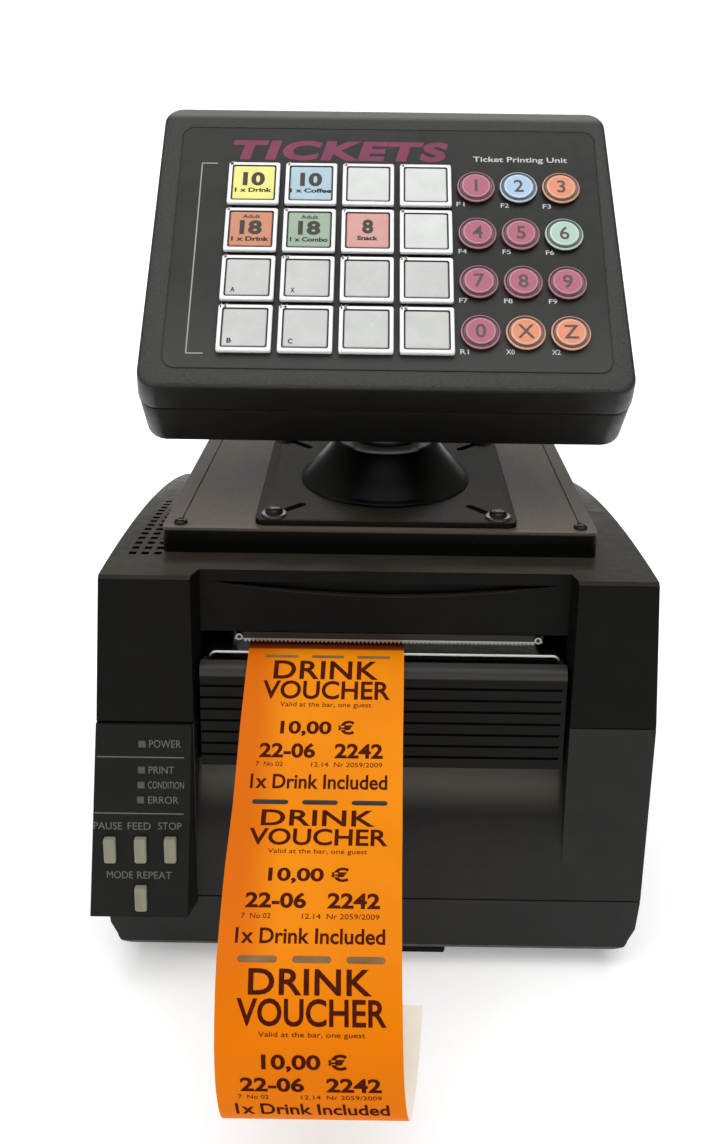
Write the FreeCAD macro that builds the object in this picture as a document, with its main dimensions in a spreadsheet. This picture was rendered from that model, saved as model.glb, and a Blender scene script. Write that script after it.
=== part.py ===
import FreeCAD, Part
import Sketcher
import math
import os

# Countertop queue ticket printer: a desktop ticket printer with a hinged top
# cover, carrying an adapter tray, a tilt and swivel mount and a key console.
# Frame: +Z up, front face looks along -Y, origin on the counter under the
# middle of the printer's case.  Millimetres.

V = FreeCAD.Vector
doc = FreeCAD.newDocument("queue_ticket_printer")
sheet = doc.addObject("Spreadsheet::Sheet", "Dims")


class Q:
    """A size: its value, and the expression that binds it to the sheet."""

    def __init__(self, val, ex):
        self.val = float(val)
        self.ex = ex

    def __add__(self, o):
        return Q(self.val + num(o), "(%s+%s)" % (self.ex, txt(o)))

    def __radd__(self, o):
        return Q(num(o) + self.val, "(%s+%s)" % (txt(o), self.ex))

    def __sub__(self, o):
        return Q(self.val - num(o), "(%s-%s)" % (self.ex, txt(o)))

    def __rsub__(self, o):
        return Q(num(o) - self.val, "(%s-%s)" % (txt(o), self.ex))

    def __mul__(self, o):
        return Q(self.val * num(o), "(%s*%s)" % (self.ex, txt(o)))

    __rmul__ = __mul__

    def __truediv__(self, o):
        return Q(self.val / num(o), "(%s/%s)" % (self.ex, txt(o)))

    def __neg__(self):
        return Q(-self.val, "(0-%s)" % self.ex)


def num(q):
    return q.val if isinstance(q, Q) else float(q)


def txt(q):
    return q.ex if isinstance(q, Q) else "(%.6f)" % float(q)


# ---------------------------------------------------------------- the sheet
_rows = [0]


def dim(name, value):
    _rows[0] += 1
    n = _rows[0]
    sheet.set("A%d" % n, name)
    sheet.set("B%d" % n, repr(float(value)))
    sheet.setAlias("B%d" % n, name)
    return Q(value, "Dims." + name)


front = dim("front_y", -144.5)           # plane of the two front pillars
back = dim("back_y", 144.5)
half_low = dim("half_low", 110.0)        # half width at the bottom seam
half_seam = dim("half_seam", 110.5)      # half width at the upper seam
half_top = dim("half_top", 107.1)        # half width at the front top edge
seam_low = dim("seam_low_z", 35.8)
seam = dim("seam_z", 116.8)              # split between base and cover
top_z = dim("top_z", 180.0)              # front top edge
wall = dim("wall", 3.0)
floor_z = dim("floor_z", 8.2)            # underside of the case
arch_mid = dim("arch_mid_z", 153.5)      # arch height at the middle
arch_end = dim("arch_end_z", 112.0)      # arch height near the rear
arch_end_y = dim("arch_end_y", 140.5)
cover_end = dim("cover_end_y", 121.2)    # rear edge of the cover
deck_y = dim("deck_y", 122.5)            # front edge of the base's rear deck
hinge_y = dim("hinge_y", 126.5)
hinge_z = dim("hinge_z", 116.5)
hinge_r = dim("hinge_r", 5.0)
pin_r = dim("hinge_pin_r", 2.0)
fit = dim("running_fit", 0.06)
bay_l = dim("bay_left_x", -69.6)         # recessed centre bay, at its panel
bay_r = dim("bay_right_x", 74.8)
bay_fl = dim("bay_front_left_x", -72.1)  # the same at the front plane
bay_fr = dim("bay_front_right_x", 76.5)
bay_y = dim("bay_panel_y", -135.0)       # face of the recessed centre panel
panel_t = dim("bay_panel_t", 5.0)
slot_z = dim("slot_z", 152.4)            # lower edge of the centre panel
grip_top = dim("grip_top_z", 173.7)
grip_sag = dim("grip_sag", 6.0)
chute_d = dim("chute_depth", 12.0)
chute_z = dim("chute_top_z", 97.0)
chute_low = dim("chute_low_z", 49.0)
chute_r = dim("chute_r", 102.0)
apron_top = dim("apron_top_z", 141.2)
apron_y = dim("apron_y", -143.5)
rib_pitch = dim("rib_pitch", 5.1)
rib_first = dim("rib_first_z", 132.8)
guide_z = dim("guide_z", 144.5)
platen_y = dim("platen_y", -114.5)
platen_z = dim("platen_z", 137.0)
platen_r = dim("platen_r", 8.0)
shaft_r = dim("platen_shaft_r", 3.0)
gear_m = dim("gear_module", 1.0)
gear_n = dim("gear_teeth", 40)
pin_n = dim("pinion_teeth", 12)
roll_y = dim("roll_y", 22.0)
roll_z = dim("roll_z", 68.0)
roll_r = dim("roll_r", 52.0)
core_r = dim("roll_core_r", 12.5)
strip_w = dim("strip_w", 61.0)
strip_x = dim("strip_x", -20.0)          # centre line of the strip
strip_t = dim("strip_t", 0.4)
tray_l = dim("tray_left_x", -87.2)       # tray's corners at its front edge
tray_r = dim("tray_right_x", 88.2)
tray_bl = dim("tray_back_left_x", -78.4)
tray_br = dim("tray_back_right_x", 82.2)
tray_d = dim("tray_d", 125.0)
tray_y = dim("tray_front_y", -111.9)
tray_z = dim("tray_top_z", 186.2)
tray_t = dim("tray_t", 3.0)
mount_x = dim("mount_x", 3.0)            # centre of the tilt and swivel mount
mount_y = dim("mount_y", -58.2)
plate_w = dim("plate_w", 106.0)          # front edge; the back is narrower
plate_d = dim("plate_d", 103.6)
plate_t = dim("plate_t", 2.5)
hole_x = dim("plate_hole_x", 45.6)
bell_r = dim("bell_r", 36.4)
bell_top_r = dim("bell_top_r", 20.6)
bell_z = dim("bell_top_z", 207.5)
spigot_r = dim("spigot_r", 10.0)
neck_r = dim("neck_r", 14.5)
tilt_z = dim("tilt_z", 219.5)
ear_r = dim("ear_r", 7.2)
bolt_r = dim("bolt_r", 4.0)
con_x = dim("console_x", 3.3)            # centre of the console's face
con_y = dim("console_y", -62.7)
con_z = dim("console_z", 293.8)
con_a = dim("console_tilt", 42.26)
con_fl = dim("console_foot_left", -100.5)    # at the seam of its shells
con_fr = dim("console_foot_right", 97.6)
con_hl = dim("console_head_left", -99.3)
con_hr = dim("console_head_right", 93.6)
con_h = dim("console_h", 140.0)
cp_half = dim("panel_half", 114.95)      # middle of the case to panel edge
con_split = dim("console_split", 18.5)
con_d = dim("console_depth", 47.0)
con_t = dim("console_wall", 2.5)
ov_w = dim("overlay_w", 176.4)
ov_h = dim("overlay_h", 120.8)
key_w = dim("key_w", 21.6)
key_stem = dim("key_stem", 19.0)
key_gap = dim("key_gap", 0.3)
key_r = dim("round_key_r", 7.9)
key_sr = dim("round_stem_r", 6.0)
key_pitch = dim("key_pitch", 24.0)
btn_w = dim("button_w", 4.9)
btn_h = dim("button_h", 11.0)
cp_bot = dim("panel_bottom_z", 32.8)
doc.recompute()

NODES = []


# ------------------------------------------------------------ small helpers
def node(obj, name):
    obj.Label = name
    NODES.append((name, obj))
    return obj


def bind(obj, prop, q):
    if isinstance(q, Q):
        obj.setExpression(prop, q.ex)
    else:
        setattr(obj, prop, float(q))


def put(obj, x, y, z, rot=None):
    obj.Placement = FreeCAD.Placement(V(num(x), num(y), num(z)),
                                      rot or FreeCAD.Rotation())
    for axis, q in (("x", x), ("y", y), ("z", z)):
        if isinstance(q, Q):
            obj.setExpression("Placement.Base." + axis, q.ex)
    return obj


def box(name, x0, x1, y0, y1, z0, z1):
    o = doc.addObject("Part::Box", name)
    for prop, a, b in (("Length", x0, x1), ("Width", y0, y1),
                       ("Height", z0, z1)):
        d = b - a
        bind(o, prop, d)
    return put(o, x0, y0, z0)


ROT = {"X": FreeCAD.Rotation(V(0, 1, 0), 90),
       "Y": FreeCAD.Rotation(V(1, 0, 0), -90),
       "Z": FreeCAD.Rotation()}


def cyl(name, axis, r, x, y, z, length):
    o = doc.addObject("Part::Cylinder", name)
    bind(o, "Radius", r)
    bind(o, "Height", length)
    return put(o, x, y, z, ROT[axis])


def cone(name, r1, r2, x, y, z, h):
    o = doc.addObject("Part::Cone", name)
    bind(o, "Radius1", r1)
    bind(o, "Radius2", r2)
    bind(o, "Height", h)
    return put(o, x, y, z)


def fuse(name, parts):
    if len(parts) == 1:
        return parts[0]
    o = doc.addObject("Part::MultiFuse", name)
    o.Shapes = parts
    return o


def common(name, parts):
    o = doc.addObject("Part::MultiCommon", name)
    o.Shapes = parts
    return o


def cut(name, base, tools):
    o = doc.addObject("Part::Cut", name)
    o.Base = base
    o.Tool = tools[0] if len(tools) == 1 else fuse(name + "_tools", tools)
    return o


def arc_mid(p, q, r, side):
    dx, dy = q[0] - p[0], q[1] - p[1]
    c = math.hypot(dx, dy)
    sag = r - math.sqrt(max(r * r - c * c / 4, 0.0))
    return ((p[0] + q[0]) / 2 - side * dy / c * sag,
            (p[1] + q[1]) / 2 + side * dx / c * sag)


PLANES = {
    "XY": FreeCAD.Rotation(),
    "XZ": FreeCAD.Rotation(V(1, 0, 0), 90),
    "YZ": FreeCAD.Rotation(V(0, 1, 0), V(0, 0, 1), V(1, 0, 0), "ZXY"),
}


def draw(sk, pts):
    """Closed outline.  A point is (a, b), or (a, b, radius, side) for a
    point reached by an arc from the point before it."""
    n = len(pts)
    for i in range(n):
        p, q = pts[i], pts[(i + 1) % n]
        a = (num(p[0]), num(p[1]))
        b = (num(q[0]), num(q[1]))
        if len(q) == 4:
            m = arc_mid(a, b, num(q[2]), q[3])
            arc = Part.Arc(V(a[0], a[1], 0), V(m[0], m[1], 0),
                           V(b[0], b[1], 0))
            sk.addGeometry(arc, False)
        else:
            sk.addGeometry(Part.LineSegment(V(a[0], a[1], 0),
                                            V(b[0], b[1], 0)), False)

    def end(i, which):
        p = pts[i] if which == 0 else pts[(i + 1) % n]
        s = sk.getPoint(i, 1)
        near = math.hypot(s.x - num(p[0]), s.y - num(p[1])) < 1e-6
        return 1 if near else 2

    for i in range(n):
        j = (i + 1) % n
        sk.addConstraint(Sketcher.Constraint("Coincident", i, end(i, 1),
                                             j, end(j, 0)))
    for i in range(n):
        p = pts[i]
        for kind, q in (("DistanceX", p[0]), ("DistanceY", p[1])):
            if abs(num(q)) < 1e-9 and not isinstance(q, Q):
                # a plain zero: the point is on the sketch's axis
                ref = -2 if kind == "DistanceX" else -1
                sk.addConstraint(Sketcher.Constraint("PointOnObject", i,
                                                     end(i, 0), ref))
                continue
            k = sk.addConstraint(Sketcher.Constraint(kind, -1, 1, i,
                                                     end(i, 0), num(q)))
            if isinstance(q, Q):
                sk.setExpression("Constraints[%d]" % k, q.ex)
        nxt = pts[(i + 1) % n]
        if len(nxt) == 4:
            k = sk.addConstraint(Sketcher.Constraint("Radius", i,
                                                     num(nxt[2])))
            if isinstance(nxt[2], Q):
                sk.setExpression("Constraints[%d]" % k, nxt[2].ex)


def outline(name, plane, offset, pts):
    sk = doc.addObject("Sketcher::SketchObject", name)
    o = {"XY": (0, 0, offset), "XZ": (0, offset, 0),
         "YZ": (offset, 0, 0)}[plane]
    put(sk, o[0], o[1], o[2], PLANES[plane])
    draw(sk, pts)
    return sk


def prism(name, plane, a, b, pts):
    """Outline in a plane, extruded from a to b along the plane's axis."""
    start = b if plane == "XZ" else a
    sk = outline(name + "_outline", plane, start, pts)
    e = doc.addObject("Part::Extrusion", name)
    e.Base = sk
    e.DirMode = "Custom"
    e.Dir = {"XY": V(0, 0, 1), "XZ": V(0, -1, 0), "YZ": V(1, 0, 0)}[plane]
    e.Solid = True
    bind(e, "LengthFwd", b - a)
    return e


def rounded(x0, x1, y0, y1, r):
    """Rounded rectangle, counter-clockwise, starting after a corner."""
    return [(x0 + r, y0, r, -1), (x1 - r, y0), (x1, y0 + r, r, -1),
            (x1, y1 - r), (x1 - r, y1, r, -1), (x0 + r, y1),
            (x0, y1 - r, r, -1), (x0, y0 + r)]


# arch of the top surface: the circle through its three stated points
def circle3(p, q, s):
    ax, ay = p
    bx, by = q
    cx, cy = s
    d = 2 * (ax * (by - cy) + bx * (cy - ay) + cx * (ay - by))
    ux = ((ax * ax + ay * ay) * (by - cy) + (bx * bx + by * by) * (cy - ay)
          + (cx * cx + cy * cy) * (ay - by)) / d
    uy = ((ax * ax + ay * ay) * (cx - bx) + (bx * bx + by * by) * (ax - cx)
          + (cx * cx + cy * cy) * (bx - ax)) / d
    return ux, uy, math.hypot(ax - ux, ay - uy)


AY, AZ, AR = circle3((num(front), num(top_z)), (0.5, num(arch_mid)),
                     (num(arch_end_y), num(arch_end)))
arch_r = dim("arch_r", round(AR, 4))
arch_r_in = arch_r - wall
doc.recompute()


def arch(y, inset=0.0):
    return AZ + math.sqrt((AR - inset) ** 2 - (y - AY) ** 2)


slope = (half_seam - half_top) / (top_z - seam)


# ------------------------------------------------------------ the envelope
def side_outline(inset, name, x0, x1):
    i = inset
    f = front + i
    b = back - i
    ye = num(arch_end_y) - i * 1.2
    if i == 0:
        pts = [(f + 2.6, floor_z + 3), (f + 5, floor_z),
               (b - 4, floor_z), (b, floor_z + 4), (b, 98.0),
               (ye, arch(ye), 14.0, -1),
               (f + 1.2, arch(num(f) + 1.2), arch_r, -1),
               (f, top_z - 1.4), (f, seam_low)]
    else:
        pts = [(f + 2.2, floor_z + i), (b, floor_z + i), (b, 97.0),
               (ye, arch(ye, i), 12.0, -1),
               (f, arch(num(f), i), arch_r_in, -1), (f, seam_low)]
    return prism(name, "YZ", x0, x1, pts)


def front_outline(inset, name, y0, y1):
    i = inset
    hl = half_low - i
    hs = half_seam - i
    up = 200.0
    ht = half_seam - i - slope * (up - seam)
    lo = floor_z + i
    if i == 0:
        pts = [(-101.0, lo, 7.5, -1), (101.0, lo), (106.6, lo + 6.5, 7.5, -1),
               (109.2, 21.0), (hl, seam_low), (hs, seam), (ht, up),
               (-ht, up), (-hs, seam), (-hl, seam_low), (-109.2, 21.0),
               (-106.6, lo + 6.5)]
    else:
        pts = [(-101.5, lo), (101.5, lo), (106.2, 21.0), (hl, seam_low),
               (hs, seam), (ht, up), (-ht, up), (-hs, seam),
               (-hl, seam_low), (-106.2, 21.0)]
    return prism(name, "XZ", y0, y1, pts)


def envelope(tag, inset):
    return common("envelope_" + tag, [
        side_outline(inset, "side_" + tag, -120.0, 120.0),
        front_outline(inset, "front_" + tag, -160.0, 160.0)])


# --------------------------------------------------------------- base case
env_a = envelope("base", 0)
base_raw = common("base_raw", [env_a, fuse("base_space", [
    box("base_low", -130, 130, -170, 170, 0, seam - 0.4),
    box("base_deck", -130, 130, deck_y, 170, 60, 200)])])
cav_a = cut("base_cavity", envelope("base_in", 3), [
    prism("front_block", "YZ", bay_fl - 3, bay_fr + 3, [
        (-160.0, 44.0), (-141.4, 44.0), (-140.9, 60.0), (-137.2, 78.0),
        (-129.4, 94.0), (-124.0, 94.0), (-124.0, 130.0),
        (-160.0, 130.0)]),
    box("above_deck", -130, 130, deck_y - 0.01, 170, seam - 6.4, 200)])
chute = prism("chute", "YZ", bay_fl, bay_fr, [
    (-150.0, chute_low), (front - 0.02, chute_low),
    (front + chute_d, chute_z, chute_r, 1),
    (front + chute_d, chute_z + 0.5), (-150.0, chute_z + 0.5)])
apron_bay = prism("apron_bay", "XY", chute_z, 130.0, [
    (bay_fl - 0.5, -150.0), (bay_fr + 0.5, -150.0),
    (bay_fr, front), (bay_r, bay_y), (bay_r, -127.0),
    (bay_l, -127.0), (bay_l, bay_y), (bay_fl, front)])
panel_pocket = box("panel_pocket", -125, bay_fl - 0.4, -160, front + 3.0,
                   cp_bot - 0.1, 130)
pocket_back = box("pocket_back", -109.0, bay_fl + 3.0, front + 3.0,
                  front + 6.0, cp_bot - 3.0, seam - 0.4)
seam_groove = cut("seam_groove", box("seam_a", -130, 130, -160, 160,
                                     seam_low - 0.35, seam_low + 0.35), [
    common("seam_in", [
        box("seam_b", -130, 130, -143.8, 143.8, seam_low - 2,
            seam_low + 2),
        box("seam_c", 0.7 - half_low, half_low - 0.7, -160, 160,
            seam_low - 2, seam_low + 2)])])
plates = []
for tag, x0, y1 in (("left", -74.0, -96.0), ("right", 80.0, -78.0)):
    plates.append(box("plate_" + tag, x0, x0 + 3, -124.2, y1, floor_z + 2.9,
                      147.0))
posts = []
for tag, x0 in (("left", -66.0), ("right", 28.0)):
    posts.append(cut("post_" + tag, box("post_blk_" + tag, x0, x0 + 6.0,
                                        roll_y - 14, roll_y + 14,
                                        floor_z + 2.9, roll_z + 6), [
        box("post_slot_" + tag, x0 - 1, x0 + 7.0, roll_y - 5.05,
            roll_y + 5.05, roll_z - 5.05, roll_z + 8)]))
knuckles, bores, notches = [], [], []
for sx, tag in ((-1, "l"), (1, "r")):
    for j, (a, b) in enumerate(((52.0, 60.0), (76.0, 84.0))):
        x0 = a if sx > 0 else -b
        knuckles.append(fuse("knuckle_%s%d" % (tag, j), [
            cyl("kn_c%s%d" % (tag, j), "X", hinge_r, x0, hinge_y, hinge_z,
                8.0),
            box("kn_b%s%d" % (tag, j), x0, x0 + 8.0, hinge_y - 4.5,
                hinge_y + 4.5, hinge_z - 12, hinge_z)]))
        bores.append(cyl("kn_h%s%d" % (tag, j), "X", pin_r + fit, x0 - 0.5,
                         hinge_y, hinge_z, 9.0))
    x0 = 60.0 if sx > 0 else -76.0
    notches.append(box("notch_" + tag, x0, x0 + 16.0, 115.0,
                       hinge_y + hinge_r + 1.2, hinge_z - hinge_r - 0.8,
                       140.0))
deck_wall = box("deck_wall", -105, 105, deck_y, deck_y + 3, 98.0,
                seam - 0.5)
base_bore = [
    cyl("bore_plate_l", "X", shaft_r + fit, -75.0, platen_y, platen_z, 5.0),
    cyl("bore_plate_r", "X", shaft_r + fit, 79.0, platen_y, platen_z, 5.0),
    cyl("bore_motor", "X", 2.6, 79.0, platen_y + 18.385, platen_z - 18.385,
        5.0)]
ports = [box("port_usb", 19.7, 32.3, 138.0, 150.0, 29.7, 41.3),
         box("port_serial", -40.3, -9.7, 138.0, 150.0, 29.7, 42.3),
         cyl("port_power", "Y", 7.3, 54.0, 138.0, 36.0, 12.0)]
base_case = cut("base_case", fuse("base_solid", [
    cut("base_shell", base_raw, [cav_a]), deck_wall, pocket_back]
    + plates + posts + knuckles),
    [chute, apron_bay, panel_pocket, seam_groove] + notches + bores
    + base_bore + ports)
node(base_case, "base_case")

# rubber feet, and the wide pad under the front edge
feet = [box("foot_%d" % i, x - 6.5, x + 6.5, y - 6.5, y + 6.5, 0.0, floor_z)
        for i, (x, y) in enumerate(((-84.0, -121.0), (86.0, -121.0),
                                    (-84.0, 122.0), (86.0, 122.0)))]
feet.append(box("foot_bar", -31.0, 31.0, -133.0, -123.0, 0.0, floor_z))
o = doc.addObject("Part::Compound", "feet_group")
o.Links = feet
node(o, "case_feet")

# ------------------------------------------------------------- control panel
cp_slope = 0.1147
cp_lean = 0.0534


def cp_y(z):
    """Front face of the control panel at a height."""
    return -145.3 - (116.2 - z) * cp_slope


cp_side = prism("cp_side", "YZ", -125.0, -60.0, [
    (front + 3.0, cp_bot), (front + 3.0, seam - 0.7),
    (-145.35, seam - 0.7), (-154.85, cp_bot)])
cp_front = prism("cp_front", "XZ", -160.0, -130.0, [
    (-cp_half, cp_bot), (-60.0, cp_bot), (-60.0, 125.0),
    (-cp_half + cp_lean * 89.2, 125.0)])
cp_plan = prism("cp_plan", "XY", 20.0, 130.0, [
    (-125.0, -160.0), (-75.9, -160.0), (-75.3, -154.5), (-72.6, front),
    (-72.6, front + 3.0), (-125.0, front + 3.0)])
BUTTONS = [("button_pause", -106.2, 62.4), ("button_feed", -93.9, 62.6),
           ("button_stop", -81.9, 62.8), ("button_mode", -94.1, 41.4)]
LEDS = [(-92.5, 107.9), (-92.9, 96.9), (-93.2, 90.5), (-93.5, 84.1)]
cp_hollow = prism("cp_hollow", "YZ", -110.0, -77.0, [
    (front + 4.0, cp_bot + 3), (front + 4.0, 76.0), (-147.2, 76.0),
    (-151.9, cp_bot + 3)])
holes = []
for n, x, z in BUTTONS:
    holes.append(box(n + "_hole", x - btn_w / 2 - 0.3, x + btn_w / 2 + 0.3,
                     -158.0, -145.0, z - btn_h / 2 - 0.3,
                     z + btn_h / 2 + 0.3))
lenses = []
for i, (x, z) in enumerate(LEDS):
    holes.append(box("led_hole_%d" % i, x - 1.45, x + 1.45, -158.0,
                     cp_y(z) + 1.5, z - 1.55, z + 1.55))
    lenses.append(box("led_%d" % i, x - 1.45, x + 1.45, cp_y(z) - 0.25,
                      cp_y(z) + 1.5, z - 1.55, z + 1.55))
node(cut("control_panel", common("cp_body", [cp_side, cp_front, cp_plan]),
         [cp_hollow] + holes), "control_panel")
o = doc.addObject("Part::Compound", "lens_group")
o.Links = lenses
node(o, "status_lenses")
for n, x, z in BUTTONS:
    f = cp_y(z) - 1.8
    body = prism(n + "_cap", "XZ", f, -143.6, rounded(
        x - btn_w / 2, x + btn_w / 2, z - btn_h / 2, z + btn_h / 2, 0.9))
    node(body, n)

# --------------------------------------------------------------- top cover
env_c = envelope("cover", 0)
cover_raw = common("cover_raw", [env_c, box("cover_space", -130, 130, -170,
                                            cover_end, seam + 0.2, 220)])
bay_cut = prism("bay_cut", "XY", 100.0, 220.0, [
    (bay_fl - 0.5, -150.0), (bay_fr + 0.5, -150.0), (bay_fr, front),
    (bay_r, bay_y), (bay_l, bay_y), (bay_fl, front)])
bay_keep = prism("bay_keep", "XY", 90.0, 230.0, [
    (bay_fl - 3.5, -150.0), (bay_fr + 3.5, -150.0), (bay_fr + 3, front),
    (bay_r + 3, bay_y + panel_t), (bay_l - 3, bay_y + panel_t),
    (bay_fl - 3, front)])
mouth = box("mouth", bay_l, bay_r, -140.0, -120.0, 100.0, slot_z)
grip = prism("grip", "XZ", bay_y - 2.0, bay_y + 3.2, [
    (-66.0, grip_top), (0.0 + 2.5, grip_top - grip_sag, 420.0, -1),
    (71.0, grip_top, 420.0, -1)])
cav_c = cut("cover_cavity", common("cover_cav_raw", [
    envelope("cover_in", 3), box("cav_space", -130, 130, -170,
                                 cover_end - 3, 90, 220)]), [bay_keep])
vents = []
for i in range(14):
    for j in range(3):
        x = -98.9 + 5.1 * j
        y = -113.9 + 7.85 * i
        vents.append(box("vent_%d_%d" % (i, j), x - 1.5, x + 1.5, y - 1.9,
                         y + 1.9, 140.0, 182.0))
arms, trunnions = [], []
for sx, tag in ((-1, "l"), (1, "r")):
    x0 = 60.3 if sx > 0 else -75.7
    arms.append(fuse("arm_" + tag, [
        cyl("arm_c" + tag, "X", hinge_r, x0, hinge_y, hinge_z, 15.4),
        box("arm_b" + tag, x0, x0 + 15.4, cover_end - 6, hinge_y,
            hinge_z + 0.4, hinge_z + 3.6)]))
    trunnions.append(cyl("trunnion_" + tag, "X", pin_r, x0 - 6.0, hinge_y,
                         hinge_z, 27.4))
bosses = [common("head_boss_%d" % i, [
    cyl("head_boss_c%d" % i, "Z", 5.0, x, -112.0, 157.0, 30.0),
    envelope("boss%d" % i, 1)]) for i, x in enumerate((-42.0, 48.0))]
node(cut("top_cover", fuse("cover_solid", [
    cut("cover_shell", cover_raw, [cav_c])] + arms + trunnions + bosses),
    [bay_cut, mouth, grip] + vents), "top_cover")

# ----------------------------------------------- outlet: apron, guide, bar
apron_body = prism("apron_body", "YZ", -69.4, 74.5, [
    (apron_y, chute_z + 0.3), (apron_y, apron_top - 3.0),
    (apron_y + 3.0, apron_top, 3.0, 1), (apron_y + 5.6, apron_top),
    (apron_y + 6.2, guide_z - 6.6), (-129.0, guide_z - 6.6),
    (-129.0, guide_z - 9.4), (apron_y + 4.4, guide_z - 9.4),
    (apron_y + 4.0, guide_z - 10.6), (apron_y + 4.0, chute_z + 0.3)])
ribs = [box("rib_%d" % i, -70.5, 72.6, apron_y - 1.0, apron_y + 0.9,
            rib_first - rib_pitch * i - 0.6, rib_first - rib_pitch * i + 0.6)
        for i in range(7)]
apron_ends = [box("apron_end_%d" % i, x, x + 2.5, apron_y + 3.5, -127.0,
                  chute_z + 0.3, guide_z - 9.0)
              for i, x in enumerate((-69.4, 71.6))]
node(cut("outlet_apron", fuse("apron_all", [apron_body] + apron_ends),
         ribs), "outlet_apron")

gx0, gx1, gz = -66.6, 72.2, guide_z
node(prism("guide_sheet", "XZ", -136.5, -124.5, [
    (gx0, gz - 6.6), (gx0 + 1.0, gz - 6.6), (gx0 + 1.0, gz - 3.2),
    (gx0 + 3.2, gz - 1.0, 2.2, 1), (gx1 - 3.2, gz - 1.0),
    (gx1 - 1.0, gz - 3.2, 2.2, 1), (gx1 - 1.0, gz - 6.6),
    (gx1, gz - 6.6), (gx1, gz - 3.2), (gx1 - 3.2, gz, 3.2, -1),
    (gx0 + 3.2, gz), (gx0, gz - 3.2, 3.2, -1)]), "outlet_guide")

# serrated cutter: the outline is a long row of teeth, so it is one face
# made from points and sized from the sheet
tz = num(guide_z) + 1.9
pts = [V(-56.5, -132.9, tz + 4.6), V(-56.5, -132.9, tz + 1.4)]
x = -53.0
pts.append(V(x, -132.9, tz + 1.4))
while x < 61.9:
    pts.append(V(x + 0.8, -132.9, tz))
    pts.append(V(x + 1.6, -132.9, tz + 1.4))
    x += 1.6
pts += [V(65.4, -132.9, tz + 1.4), V(65.4, -132.9, tz + 4.6)]
face = Part.Face(Part.makePolygon(pts + [pts[0]]))
blade = face.extrude(V(0, 0.8, 0))
flange = Part.makeBox(121.9, 6.6, 0.8, V(-56.5, -132.1, tz + 3.8))
blade = blade.fuse(flange)
for sx in (-54.6, 63.4):
    head = Part.makeCylinder(1.5, 1.0, V(sx, -132.9, tz + 2.9),
                             V(0, -1, 0))
    blade = blade.fuse(head)
o = doc.addObject("Part::Feature", "tear_bar_shape")
o.Shape = blade.removeSplitter()
o.Placement = FreeCAD.Placement(V(0, 0, 0), FreeCAD.Rotation())
node(o, "tear_bar")

# -------------------------------------------------- platen, gears and motor
node(fuse("platen_all", [
    cyl("platen_rubber", "X", platen_r, -60.0, platen_y, platen_z, 128.0),
    cyl("platen_shaft", "X", shaft_r, -77.5, platen_y, platen_z, 169.5)]),
    "platen_roller")


def gear(teeth, module, bore, x0, x1, cy, cz, phase, hub=None):
    """Spur gear about an axis along X, with thinned trapezoid teeth."""
    rp = teeth * module / 2.0
    ra, rf = rp + 0.85 * module, rp - 1.2 * module
    step = 2 * math.pi / teeth
    pts = []
    for i in range(teeth):
        a = phase + i * step
        for r, w in ((rf, 0.30), (rp, 0.215), (ra, 0.11)):
            pts.append((r, a - w * step))
        for r, w in ((ra, 0.11), (rp, 0.215), (rf, 0.30)):
            pts.append((r, a + w * step))
    vs = [V(x0, cy + r * math.cos(t), cz + r * math.sin(t))
          for r, t in pts]
    f = Part.Face(Part.makePolygon(vs + [vs[0]]))
    s = f.extrude(V(x1 - x0, 0, 0))
    if hub:
        s = s.fuse(Part.makeCylinder(hub, x1 - x0 + 2, V(x0 - 1, cy, cz),
                                     V(1, 0, 0)))
    if bore:
        s = s.cut(Part.makeCylinder(bore, x1 - x0 + 4, V(x0 - 2, cy, cz),
                                    V(1, 0, 0)))
    return s


PY, PZ = num(platen_y), num(platen_z)
centre = num(gear_m) * (num(gear_n) + num(pin_n)) / 2.0
MY, MZ = PY + centre * math.sqrt(0.5), PZ - centre * math.sqrt(0.5)
line = math.atan2(MZ - PZ, MY - PY)
g = gear(int(num(gear_n)), num(gear_m), num(shaft_r) + 0.02, 85.0, 91.0,
         PY, PZ, line, 6.0)
o = doc.addObject("Part::Feature", "platen_gear_shape")
o.Shape = g
o.Placement = FreeCAD.Placement(V(0, 0, 0), FreeCAD.Rotation())
node(o, "platen_gear")
pn = int(num(pin_n))
g = gear(pn, num(gear_m), None, 85.0, 91.0, MY, MZ,
         line + math.pi + math.pi / pn)
g = g.fuse(Part.makeCylinder(2.0, 29.0, V(63.0, MY, MZ), V(1, 0, 0)))
o = doc.addObject("Part::Feature", "pinion_shape")
o.Shape = g
o.Placement = FreeCAD.Placement(V(0, 0, 0), FreeCAD.Rotation())
node(o, "drive_pinion")
node(cut("motor_all", fuse("motor_solid", [
    cyl("motor_can", "X", 15.0, 61.0, MY, MZ, 16.0),
    box("motor_face", 77.0, 80.0, MY - 15, MY + 15, MZ - 15, MZ + 15)]),
    [cyl("motor_bore", "X", 2.0 + fit, 62.0, MY, MZ, 20.0)]), "drive_motor")

# thermal print head with its carrier block, above the platen
hz = num(platen_z) + num(platen_r) + 0.9
node(fuse("head_all", [
    box("head_bar", -58.0, 64.0, -123.0, -107.0, hz, hz + 3.2),
    box("head_block", -56.0, 65.0, -125.5, -100.0, hz + 3.2, 157.0),
    box("head_plug", -20.0, 26.0, -100.0, -95.0, hz + 3.4, hz + 9.0)]),
    "print_head")

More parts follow.
